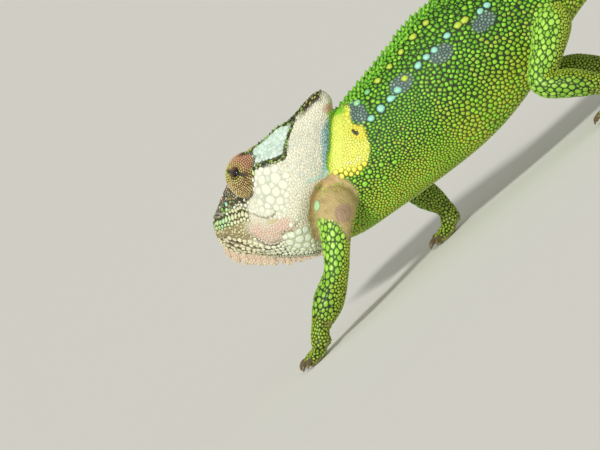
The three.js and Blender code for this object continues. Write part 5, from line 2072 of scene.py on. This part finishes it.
            for x, z, size in ((3.2, 23.5, 0.5), (4.3, 23.2, 0.48), (3.7, 22.3, 0.44),
                               (4.6, 22.3, 0.46), (5.4, 22.5, 0.46), (6.1, 21.8, 0.52),
                               (5.2, 21.5, 0.42), (7.1, 21.4, 0.5), (8.2, 21.5, 0.44),
                               (6.2, 20.95, 0.4)):
                place = self.on_flank(x, z, side)
                if place is not None:
                    found.append(Seed(place, 1.06 * size, height=0.14, stretch=1.1, peak=-0.8,
                                      lie=np.array([0.64, 0, 0.77]), tint=Paint.GOLD,
                                      under=Paint.BLACK_OLIVE, room=1.15))
        places = np.array([seed.place for seed in found])
        sites = self.skin.sites(places, self.skin.surface.nearest(places)[1],
                                np.full(len(places), 0.5))
        bare = self.coat.marks.shoulder(sites)
        past = self.coat.marks.behind(sites.head[:, 0], sites.head[:, 2])
        found = [seed for seed, zone, skin, past in zip(found, sites.zone, bare, past)
                 if zone == Zone.TRUNK and skin < 0.2 and past > 0]
        for x, z, size, tint in ((-3.2, 21.2, 1.3, rgb(182, 234, 176)), (-0.5, 22.6, 0.24, None),
                                 (0.1, 22.4, 0.26, None), (-1.2, 22.3, 0.2, None),
                                 (2.2, 21.7, 0.24, Paint.LEAF), (2.8, 21.2, 0.2, Paint.LEAF),
                                 (1.4, 22.1, 0.2, None)):
            place = self.on_flank(x, z, LEFT, 30.0)
            if place is not None:
                found.append(Seed(place, size, height=0.3 * size + 0.06, stretch=1.1,
                                  lie=np.array([0.6, 0, 0.8]), tint=tint or Paint.PALE_GREEN))
        return found

    def free(self, placed: Array, placed_radii: Array) -> tuple[Array, Array]:
        """Places for all other scales, spread over the skin by the size wanted there.

        Returns:
            The places and the half sizes.
        """
        skin, chance = self.skin, np.random.default_rng(self.seed)
        sizes = np.diff(np.append(skin.starts, len(skin.loops)))
        quads = skin.starts[sizes == 4]
        corner = skin.loops[quads[:, None] + np.arange(4)]
        triangles = np.concatenate([corner[:, [0, 1, 2]], corner[:, [0, 2, 3]]])
        a, b, c = (skin.points[triangles[:, k]] for k in range(3))
        cross = np.cross(b - a, c - a)
        area = np.linalg.norm(cross, axis=1) / 2
        middle = (a + b + c) / 3
        rough = skin.sites(middle, unit(cross), np.full(len(middle), 0.5))
        plan = self.coat.look(rough)
        wanted = plan.radius
        share = area / wanted**2
        total = share.sum() * 0.86 / math.pi
        drawn = chance.choice(len(area), int(total * self.crowd), p=share / share.sum())
        u, v = chance.random((2, len(drawn)))
        flip = u + v > 1
        u, v = np.where(flip, 1 - u, u), np.where(flip, 1 - v, v)
        points = a[drawn] + u[:, None] * (b - a)[drawn] + v[:, None] * (c - a)[drawn]
        radii = wanted[drawn] * (0.92 + 0.16 * chance.random(len(drawn)))
        keep = self.allowed(points, unit(cross)[drawn])
        for place, radius in zip(placed, placed_radii):
            far = (radii + radius) * self.tight
            keep &= ((points - place) ** 2).sum(-1) > far**2
        points, radii, drawn = points[keep], radii[keep], drawn[keep]
        lie, stretch = unit(plan.lie)[drawn], plan.stretch[drawn]
        chosen = ScaleBed.scatter(points, radii, lie, stretch, self.tight)
        rest = np.setdiff1d(np.arange(len(points)), chosen)
        rest = rest[radii[rest] > self.fill_from]
        order = np.concatenate([chosen, rest]).astype(int)
        small = radii[order] * np.where(np.arange(len(order)) < len(chosen), 1.0, self.fill)
        points, lie, stretch = points[order], lie[order], stretch[order]
        chosen = ScaleBed.scatter(points, small, lie, stretch, self.tight)
        return points[chosen], small[chosen]

    @staticmethod
    def allowed(points: Array, normals: Array) -> Array:
        """Where a free scale may stand: off the mouth's line, the soles and the turrets."""
        a, o, h = HEAD.local(points).T
        far = h - HEAD.jaw_line(a)
        lips = (far > -0.5) & (far < 0.35) & (a < 9.6)
        mouth = lips | (line_distance(a, h, HEAD.mouth) < 0.17)
        for line in (*Markings.bands, Markings.hook):
            mouth |= line_distance(a, h, line) < 0.1
        back, _, high = Markings.nostril
        mouth |= np.hypot(a - back, h - high) < 0.3
        sole = (points[:, 2] < 0.3) | ((points[:, 2] < 0.9) & (normals[:, 2] < -0.4))
        hidden = np.zeros(len(points), bool)
        for side in (LEFT, RIGHT):
            hidden |= (TURRET.gap(points, side) < 0) & (side * o > 1.2)
        return ~(mouth & (points[:, 0] < 5)) & ~sole & ~hidden

    def build(self, finishes: Finishes) -> None:
        """Places, shapes and dresses every scale."""
        seeds = self.seeds()
        placed = np.array([s.place for s in seeds])
        radii = np.array([s.radius for s in seeds])
        free, free_radii = self.free(placed, radii * np.array([s.room for s in seeds]))
        points = np.concatenate([placed, free])
        radii = np.concatenate([radii, free_radii])
        bed = ScaleBed(self.skin.surface, ScaleShape())
        _, normals = self.skin.surface.nearest(points)
        chance = np.random.default_rng(self.seed + 1).random(len(points))
        plan = self.coat.look(self.skin.sites(points, normals, chance))
        points, normals = bed.spread(points, radii, unit(plan.lie), plan.stretch, len(seeds),
                                     self.rounds)
        sites = self.skin.sites(points, normals, chance)
        look = self.coat.look(sites)
        share = np.clip(radii / look.radius, 0, 1)
        look.height *= mix(0.6, 1.0, step(0.45, 0.8, share))
        look.tint *= mix(0.74, 1.0, step(0.55, 0.8, share))[:, None]
        look.radius = radii
        for i, seed in enumerate(seeds):
            for name in ("height", "stretch", "peak", "lie", "tint", "under"):
                value = getattr(seed, name)
                if value is not None:
                    getattr(look, name)[i] = value
        roots = np.zeros((len(points), 2))
        for number, form in enumerate(FORMS):
            chosen = sites.form == number
            roots[chosen] = form.patch.at(sites.unwrap[chosen])
        scales = bed.solids(points, normals, look, roots)
        LOG.info("%d scales on the skin", len(points))
        self.part(scales, sites, finishes)

    @staticmethod
    def part(scales: ScaleSet, sites: Sites, finishes: Finishes) -> None:
        """Parts the coat into pieces by where they grow."""
        zone, left = sites.zone, sites.points[:, 1] < 0
        a, o, h = sites.head.T
        jaw = h < HEAD.jaw_line(a)
        left_face = o < 0
        head = zone == Zone.HEAD
        trunk = zone == Zone.TRUNK
        neck = trunk & (sites.points[:, 0] < 9)
        groups = {
            "face_scales_left": ("face", head & ~jaw & left_face),
            "face_scales_right": ("face", head & ~jaw & ~left_face),
            "throat_scales": ("throat", head & jaw),
            "neck_scales": ("shoulder_skin", neck),
            "flank_scales_left": ("body_skin", trunk & ~neck & left),
            "flank_scales_right": ("body_skin", trunk & ~neck & ~left),
            "tail_scales": ("body_skin", zone == Zone.TAIL),
            "arm_scales": ("leg_skin", zone == Zone.ARM),
            "leg_scales": ("leg_skin", zone == Zone.LEG),
            "foot_scales": ("leg_skin", zone == Zone.FOOT),
        }
        for name, (slot, chosen) in groups.items():
            for piece in scales.pieces(name, np.flatnonzero(chosen)):
                settle(piece, slot, finishes.scales[slot])


# ------------------------------------------------------------------ crests, eyes, lobes, claws


@dataclass
class Cones:
    """Many curved cones on a skin, joined as one piece."""

    name: str
    slot: str
    sides: int = 8
    rows: int = 6
    bend: float = 0.35

    def __post_init__(self) -> None:
        """Starts with none."""
        self.rowsets: list[tuple[Array, Array, Array, float, float, Array, Array, Array]] = []

    def grow(self, place: Array, outward: Array, along: Array, height: float, radius: float,
             tint: Sequence[float], under: Sequence[float], root: Array) -> None:
        """Adds one cone."""
        self.rowsets.append((place, outward, along, height, radius, np.array(tint),
                             np.array(under), root))

    def one(self) -> Shell:
        """The shape that is repeated: its places, corners and where each face starts."""
        ball, loops, starts = sphere(self.sides, self.rows)
        share = (1 + ball[:, 2]) / 2
        open_at = np.sqrt(np.clip(1 - ball[:, 2] ** 2, 0, 1))
        taper = (1 - share**1.5) * 1.1 + 0.12
        angle = np.arctan2(ball[:, 1], ball[:, 0])
        wide = np.where(open_at > 1e-4, np.minimum(taper, 1.0), 0.0)
        places = np.stack([wide * np.cos(angle), wide * np.sin(angle), share], -1)
        return Shell(places, loops, starts)

    def build(self, finishes: Finishes) -> bpy.types.Object:
        """Joins the cones into one dressed piece."""
        shape, loops, starts = self.one()
        places, tints, spots = [], [], []
        for place, outward, along, height, radius, tint, under, root in self.rowsets:
            across = np.cross(outward, along)
            share = shape[:, 2:3]
            lean = along * (share**1.4) * height * self.bend
            body = (place + (shape[:, :1] * along + shape[:, 1:2] * across) * radius
                    + outward * (share * (height + 0.3) - 0.3) + lean)
            places.append(body)
            tints.append(mix(under, tint, step(0.2, 0.75, shape[:, 2])))
            spots.append(root + TUFT * shape[:, :2])
        shell = repeated(np.array(places), loops, starts)
        obj = mesh_object(self.name, *shell, np.concatenate(tints),
                          np.concatenate(spots)[shell.loops])
        return settle(obj, self.slot, finishes.scales[self.slot])


@dataclass
class Crests:
    """The cone rows of the back and tail, the casque's ridges and the temples."""

    skin: Skin
    rows: tuple[tuple[float, float, float, float], ...] = (
        (0.0, 0.95, 0.72, 1.15), (0.025, 0.68, 0.6, 1.05), (0.046, 0.52, 0.54, 1.05),
        (0.066, 0.4, 0.48, 1.05),
    )

    def trunk(self, finishes: Finishes) -> None:
        """Bright cones that lean back, highest along the keel."""
        cones = Cones("back_crest", "body_skin", bend=0.75)
        chance = np.random.default_rng(5)
        for row, (turn, height, radius, pitch) in enumerate(self.rows):
            sides = (0.0,) if turn == 0 else (turn, 1 - turn)
            for side in sides:
                shift = 0.5 * pitch * (row % 2)
                for x in np.arange(10.6 + shift, 60.5, pitch):
                    size = (1 - 0.4 * max(0.0, (x - 30) / 30)) * chance.uniform(0.7, 1.02)
                    size *= min(1.0, 0.55 + (x - 10.6) * 0.12)
                    xs, at = np.array([x, x + 0.1]), np.array([side, side])
                    pair = TRUNK.on(xs, at)
                    along = unit(pair[1] - pair[0])
                    around = unit(TRUNK.on(xs[:1], at[:1] + 0.002)[0] - pair[0])
                    outward = unit(np.cross(along, around))
                    place = pair[0] - outward * 0.2
                    green = Paint.BRIGHT if chance.random() > 0.6 else Paint.LEAF
                    root = TRUNK.patch.at(np.array([(x + 9) / 75, side]))
                    cones.grow(place, outward, along, height * size, radius * size, green,
                               Paint.MOSS, root)
        for s in np.arange(1.2, 40, 1.35):
            share = np.array([s / TAIL.length])
            centre, along, before, _ = (v[0] for v in TAIL.frames(share))
            place = centre + before * (float(TAIL.height(s)) - 0.2)
            size = (0.62 - 0.009 * s) * min(1.0, max(0.3, (40 - s) / 10))
            root = TAIL.patch.at(np.array([s / TAIL.length, 0.0]))
            cones.grow(place, before, along, 1.7 * size, 0.6 * size, Paint.BRIGHT,
                       Paint.MOSS, root)
        cones.build(finishes)

    def head(self, finishes: Finishes) -> None:
        """Dark cones with pale tips over the eyes, up the casque and along the temples."""
        cones = Cones("casque_crest", "face", bend=0.3)
        chance = np.random.default_rng(9)
        for side in (LEFT, RIGHT):
            out = HEAD.axes[1] * side
            for back in np.arange(9.2, 27.2, 0.6):
                place = HEAD.place(back, side * (float(HEAD.ridge_out(back)) - 0.15),
                                   float(HEAD.ridge_high(back)) - 0.2)
                outward = unit(HEAD.axes[2] * 0.85 + out * 0.5)
                self.ridge_cone(cones, place, outward, chance, back, 0.62 if back < 25 else 0.4)
            for (a, h), (b, k) in zip(Markings.temporal, Markings.temporal[1:]):
                for t in (0.0, 0.5):
                    back, high = a + (b - a) * t, h + (k - h) * t
                    start = HEAD.place(back, side * 16.0, high)
                    place = self.skin.surface.met(start, -out)
                    if place is not None:
                        outward = unit(out * 0.8 + HEAD.axes[2] * 0.45)
                        self.ridge_cone(cones, place, outward, chance, back, 0.5)
        cones.build(finishes)

    @staticmethod
    def ridge_cone(cones: Cones, place: Array, outward: Array, chance: np.random.Generator,
                   back: float, height: float) -> None:
        """One cone of the head's ridges."""
        along = unit(HEAD.axes[0] - outward * (HEAD.axes[0] @ outward))
        pale = Paint.STRAW if back > 24.5 else Paint.PALE_GREEN
        tint = mix(Paint.BLACK_OLIVE, pale, np.array(chance.choice((0.1, 0.25, 0.75))))
        root = HEAD.patch.at(HEAD.unwrap(place[None])[0])
        cones.grow(place, outward, along, height * chance.uniform(0.8, 1.1), 0.3, tint,
                   Paint.BLACK_OLIVE, root)


@dataclass
class EyeTurrets:
    """Both turrets: the lid's skin in rings of granules, the opening, and the eye."""

    pitch: float = 0.5
    coat_depth: float = 0.14

    def dome(self, side: int) -> Shell:
        """The lid: a ball dished at its opening, flat towards the head's middle."""
        ball, loops, starts = sphere(64, 48)
        polar = np.arccos(np.clip(ball[:, 2], -1, 1))
        rim = math.asin(TURRET.aperture / TURRET.radius)
        swell = 0.1 * np.exp(-(((polar - 1.35 * rim) / 0.1) ** 2))
        dish = step(rim * 1.12, rim * 0.8, polar)
        reach = TURRET.radius - self.coat_depth + swell - dish * 1.05
        offsets = (ball * reach[:, None]) @ TURRET.basis(side)
        points = TURRET.centre(side) + TURRET.press(offsets)
        local = HEAD.local(points)
        local[:, 1] = side * np.maximum(side * local[:, 1], 1.0)
        return Shell(HEAD.place(*local.T), loops, starts)

    def colours(self, points: Array, side: int, chance: Array) -> tuple[Array, Array]:
        """The lid's two colours at places on it."""
        axis = TURRET.axis(side)
        offset = unit(points - TURRET.centre(side))
        polar = np.arccos(np.clip(offset @ axis, -1, 1))
        a, _, h = (offset @ HEAD.axes.T).T
        bar = step(0.11, 0.05, np.abs(h - (0.3 - 0.36 * (a + 0.2)))) * step(0.8, 0.45, polar)
        bar = bar * (polar > 0.25)
        base = over(
            Paint.ORANGE_TAN,
            (rgb(240, 188, 152), step(0.1, 0.55, h) * 0.9),
            # Cream granules over the lower lid: partly its cream-tan tone, partly painted
            # highlights where the granules' tops catch the light.
            (rgb(240, 222, 168), 0.85 * (chance > 0.42) * step(0.55, 0.1, h)),
            (Paint.BLACK_OLIVE, 0.9 * step(0.86, 0.95, h) * step(-0.3, 0.1, a)),
            (Paint.LIME, 0.6 * step(-0.35, -0.7, a) * step(-0.1, 0.3, h)),
            (rgb(206, 212, 112), 0.8 * step(0.52, 0.38, polar)),
            (Paint.BLACK_OLIVE, 0.9 * bar),
        )
        under = over(
            rgb(88, 66, 34),
            (rgb(122, 80, 58), step(0.1, 0.5, h)),
            (Paint.BLACK_OLIVE, np.maximum(bar, step(1.2, 1.5, polar))),
            (Paint.BLACK, step(0.24, 0.19, polar)),
        )
        return base, under

    def build(self, finishes: Finishes) -> None:
        """Makes both turrets with their granules, and both eyes."""
        for side, word in SIDES:
            points, loops, starts = self.dome(side)
            lid = Surface(Shell(points, loops, starts))
            half = np.full(len(points), 0.5)
            _, under = self.colours(points, side, half)
            patch = Patch(0.01 if side == LEFT else 0.25, 0.435, 0.2, 0.025)
            uv = patch.at(self.unwrap(points, side))[loops]
            obj = mesh_object(f"turret_skin_{word}", points, loops, starts, under, uv,
                              {"Flow": half, "Crease": half * 0})
            settle(obj, "turret", finishes.skin, f"eye_turret_{word}")
            self.granules(lid, side, word, patch, finishes)
            self.eye(side, word, finishes)

    @staticmethod
    def unwrap(points: Array, side: int) -> Array:
        """Places on a turret as shares of an unwrap looking along its own gaze."""
        across, third, axis = TURRET.basis(side)
        offset = unit(points - TURRET.centre(side))
        polar = np.arccos(np.clip(offset @ axis, -1, 1)) / math.pi
        turn = np.arctan2(offset @ third, offset @ across) / (2 * math.pi) % 1
        return np.stack([turn, polar], -1)

    def granules(self, lid: Surface, side: int, word: str, patch: Patch,
                 finishes: Finishes) -> None:
        """Rings of granules round the opening."""
        across, third, axis = TURRET.basis(side)
        chance = np.random.default_rng(21 + side)
        found = []
        polar = math.asin(TURRET.aperture / TURRET.radius) + 0.035
        ring = 0
        while polar < 1.9:
            count = max(6, round(2 * math.pi * TURRET.radius * math.sin(polar) / self.pitch))
            for i in range(count):
                turn = 2 * math.pi * (i + 0.5 * (ring % 2) + chance.uniform(-0.12, 0.12)) / count
                lean = polar + chance.uniform(-0.01, 0.01)
                aim = (axis * math.cos(lean)
                       + (across * math.cos(turn) + third * math.sin(turn)) * math.sin(lean))
                found.append(aim * TURRET.radius)
            polar += self.pitch * 0.88 / TURRET.radius
            ring += 1
        found = TURRET.centre(side) + TURRET.press(np.array(found))
        points, normals = lid.nearest(found)
        keep = side * HEAD.local(points)[:, 1] > 1.6
        points, normals = points[keep], normals[keep]
        n = len(points)
        tint, under = self.colours(points, side, chance.random(n))
        tint = tint * (0.88 + 0.24 * chance.random(n))[:, None]
        look = Look.of(n, self.pitch / 2, tint, under, np.cross(normals, axis), height=0.18,
                       peak=0.3, stretch=1.12, gap=0.09)
        bed = ScaleBed(lid, ScaleShape())
        roots = patch.at(self.unwrap(points, side))
        for piece in bed.solids(points, normals, look, roots).pieces(
            f"turret_scales_{word}", np.arange(n)
        ):
            settle(piece, "turret", finishes.scales["turret"])

    def eye(self, side: int, word: str, finishes: Finishes) -> None:
        """The eyeball with its round pupil in a thin gold ring."""
        ball, loops, starts = sphere(40, 32)
        points = TURRET.eye_centre(side) + (ball * TURRET.eye) @ TURRET.basis(side)
        polar = np.arccos(np.clip(ball[:, 2], -1, 1))
        gold = step(1.12, 1.18, polar) * step(1.42, 1.36, polar)
        tint = mix(np.tile(Paint.BLACK, (len(points), 1)), Paint.GOLD, 0.7 * gold)
        patch = Patch(0.5 if side == LEFT else 0.6, 0.435, 0.08, 0.025)
        turn = np.arctan2(ball[:, 1], ball[:, 0]) / (2 * math.pi) % 1
        uv = patch.at(np.stack([turn, polar / math.pi], -1))[loops]
        obj = mesh_object(f"eye_{word}", points, loops, starts, tint, uv)
        settle(obj, "eye", finishes.eye, f"eyeball_{word}")


@dataclass
class ThroatLobes:
    """The gular crest: soft lobes covered with granules, broad at the chin, small behind."""

    clusters: tuple[tuple[float, float, int, float], ...] = (
        (0.7, 1.7, 1, 1.5), (1.7, 4.8, 2, 2.15), (4.8, 9.8, 4, 2.1), (10.5, 12.6, 2, 1.7),
        (12.8, 14.9, 2, 1.3), (15.1, 16.1, 1, 0.85), (16.2, 17.2, 1, 0.8), (17.4, 18.3, 1, 0.7),
        (18.5, 19.3, 1, 0.6),
    )
    draws: int = 9000  # places tried for granules

    def build(self, finishes: Finishes) -> None:
        """Makes the lobes and their granules."""
        chance = np.random.default_rng(31)
        spans = []
        for start, end, count, length in self.clusters:
            wide = (end - start) / count
            for i in range(count):
                spans.append((start + wide * (i + 0.5), wide, length * chance.uniform(0.88, 1.05)))
        ball, corners, begins = sphere(16, 12)
        x, y, z = ball.T
        blunt = np.copysign(np.abs(z) ** 0.6, z)
        shells = []
        for middle, wide, length in spans:
            places = HEAD.place(middle + 0.62 * wide * x - 0.1 * length * z,
                                (0.34 + 0.2 * wide) * y,
                                float(HEAD.keel(middle)) + 0.25 + blunt * length)
            shells.append(Shell(places, corners, begins))
        points, loops, starts = joined(shells)
        core = Surface(Shell(points, loops, starts))
        patch = HEAD.patch
        root = patch.at(HEAD.unwrap(points))
        tint = np.tile(mix(Paint.LOBE_PINK, Paint.GROOVE, np.array(0.2)), (len(points), 1))
        obj = mesh_object("throat_lobes", points, loops, starts, tint,
                          root[loops], {"Flow": points[:, 0], "Crease": points[:, 0] * 0})
        settle(obj, "throat", finishes.skin)
        areas = read(obj.data.polygons, "area")
        centres = np.array([points[face].mean(0) for face in core.shell.faces()])
        self.tips(spans, chance, finishes)
        drawn = chance.choice(len(centres), self.draws, p=areas / areas.sum())
        spots = centres[drawn] + chance.normal(0, 0.08, (len(drawn), 3))
        spots, _ = core.nearest(spots)
        lie = np.tile(HEAD.axes[2], (len(spots), 1))
        size = np.full(len(spots), 0.21)
        chosen = ScaleBed.scatter(spots, size, lie, size * 0 + 1, 0.88)
        spots, normals = core.nearest(spots[chosen])
        n = len(spots)
        low = step(0.2, 1.6, HEAD.keel(HEAD.local(spots)[:, 0]) - HEAD.local(spots)[:, 2])
        tints = mix(np.tile(Paint.LOBE_PINK, (n, 1)), Paint.LOBE_TIP, low)
        tints = tints * (0.9 + 0.2 * chance.random(n))[:, None]
        tip = step(-0.35, -0.75, normals @ HEAD.axes[2]) * step(0.5, 0.9, low)
        look = Look.of(n, 0.24, tints, mix(Paint.PINK, Paint.GROOVE, np.array(0.3)),
                       HEAD.axes[2], height=mix(0.13, 0.2, tip), peak=0.1, stretch=1.15,
                       gap=0.06)
        roots = patch.at(HEAD.unwrap(spots))
        bed = ScaleBed(core, ScaleShape(sides=7, sink=0.08))
        for piece in bed.solids(spots, normals, look, roots).pieces(
            "throat_lobe_scales", np.arange(n)
        ):
            settle(piece, "throat", finishes.scales["throat"])

    @staticmethod
    def tips(spans: list[tuple[float, float, float]], chance: np.random.Generator,
             finishes: Finishes) -> None:
        """The small pale points along the lobes' lower edges."""
        cones = Cones("throat_lobe_tips", "throat", bend=0.1)
        for middle, wide, length in spans:
            count = max(1, round(2 * wide))
            for i in range(count):
                share = (i + 0.5) / count * 1.3 - 0.65
                back = middle + share * wide + 0.1 * length
                high = float(HEAD.keel(middle)) + 0.45 - length * (1 - share**2) ** 0.3
                place = HEAD.place(back, chance.uniform(-0.12, 0.12), high)
                lean = unit(-HEAD.axes[2] + chance.uniform(-0.15, 0.15) * HEAD.axes[0])
                cones.grow(place, lean, unit(np.cross(HEAD.axes[1], lean)),
                           chance.uniform(0.3, 0.44), chance.uniform(0.3, 0.38),
                           Paint.LOBE_TIP, Paint.LOBE_PINK,
                           HEAD.patch.at(HEAD.unwrap(place[None])[0]))
        cones.build(finishes)


@dataclass
class Claws:
    """A curved claw on every toe."""

    def build(self, finishes: Finishes) -> None:
        """Makes all the claws as one piece."""
        claws = []
        for leg in LEGS:
            foot = leg.foot
            for aim, reach in foot.aims(leg.side):
                at = np.array([foot.x, foot.y, 0.0]) + aim * reach
                rows = [
                    [*(at - aim * 0.9 + [0, 0, 1.15]), 0.5],
                    [*(at + aim * 0.1 + [0, 0, 1.3]), 0.5],
                    [*(at + aim * 0.9 + [0, 0, 1.05]), 0.34],
                    [*(at + aim * foot.claw * 0.97 + [0, 0, 0.42]), 0.07],
                ]
                claw = Tube(stations=rows, towards=(0, 0, 1), rows=12, sides=10, blunt=12.0)
                claws.append(claw.pull())
        points, loops, starts = joined(claws)
        tint = np.tile(Paint.HORN, (len(points), 1))
        uv = np.stack([0.7 + 0.25 * (points[loops, 0] % 1.0), 0.44 + 0.01 * points[loops, 2]], -1)
        obj = mesh_object("claws", points, loops, starts, tint, uv)
        settle(obj, "leg_skin", finishes.horn)


# ------------------------------------------------------------------ floor, light, camera


@dataclass
class Studio:
    """A pale floor, soft lights and the camera."""

    target: tuple[float, float, float] = (-7.8, -5.0, 20.4)
    distance: float = 1.0
    elevation: float = 4.0
    roll: float = 40.0
    lens: float = 333.0
    sensor: float = 36.0

    def build(self, finishes: Finishes) -> None:
        """Makes the floor, the world, the lights and the camera."""
        mesh = bmesh.new()
        bmesh.ops.create_grid(mesh, x_segments=2, y_segments=2, size=60.0)
        data = bpy.data.meshes.new("floor")
        mesh.to_mesh(data)
        mesh.free()
        floor = linked("floor", data)
        data.materials.append(finishes.floor)
        world = bpy.data.worlds.new("studio")
        world.use_nodes = True
        world.node_tree.nodes["Background"].inputs["Color"].default_value = (1.0, 1.0, 0.9, 1)
        world.node_tree.nodes["Background"].inputs["Strength"].default_value = 0.34
        bpy.context.scene.world = world
        bpy.context.scene.view_settings.view_transform = "Standard"
        self.sun("key", (-0.3, -0.78, 0.5), 9.0, 2.1, (1.0, 0.98, 0.94))
        self.sun("fill", (-0.5, -0.8, 0.07), 60.0, 0.55, (0.98, 0.98, 1.0))
        self.camera()

    def sun(self, name: str, towards: tuple[float, float, float], soft: float, power: float,
            colour: tuple[float, float, float]) -> None:
        """A far soft light, by the direction towards it and its width in degrees."""
        light = bpy.data.lights.new(name, "SUN")
        light.angle, light.energy, light.color = math.radians(soft), power, colour
        lamp = linked(name, light)
        lamp.rotation_euler = Vector(towards).to_track_quat("Z", "Y").to_euler()
        lamp.location = Vector(towards)

    def camera(self) -> None:
        """The camera, level with the head and rolled, so that the head points down."""
        e, r = math.radians(self.elevation), math.radians(self.roll)
        ahead = np.array([0, math.cos(e), -math.sin(e)])
        right = np.array([1.0, 0, 0])
        up = np.cross(right, ahead)
        x_axis = math.cos(r) * right - math.sin(r) * up
        y_axis = math.sin(r) * right + math.cos(r) * up
        place = to_row(np.array(self.target)) - ahead * self.distance
        data = bpy.data.cameras.new("camera")
        data.lens, data.sensor_width, data.sensor_fit = self.lens, self.sensor, "HORIZONTAL"
        data.clip_start, data.clip_end = 0.1, 200.0
        camera = linked("camera", data)
        turn = Matrix([list(v) for v in zip(x_axis, y_axis, -ahead)]).to_4x4()
        camera.matrix_world = Matrix.Translation(Vector(place)) @ turn
        bpy.context.scene.camera = camera


def main() -> None:
    """Builds the animal piece by piece, then the studio, and notes the sizes."""
    finishes = Finishes()
    coat = Coat()
    skin = Skin()
    skin.build()
    skin.dress(coat, finishes)
    BodyScales(skin, coat).build(finishes)
    crests = Crests(skin)
    crests.trunk(finishes)
    crests.head(finishes)
    EyeTurrets().build(finishes)
    ThroatLobes().build(finishes)
    Claws().build(finishes)
    Studio().build(finishes)


if __name__ == "__main__":
    main()
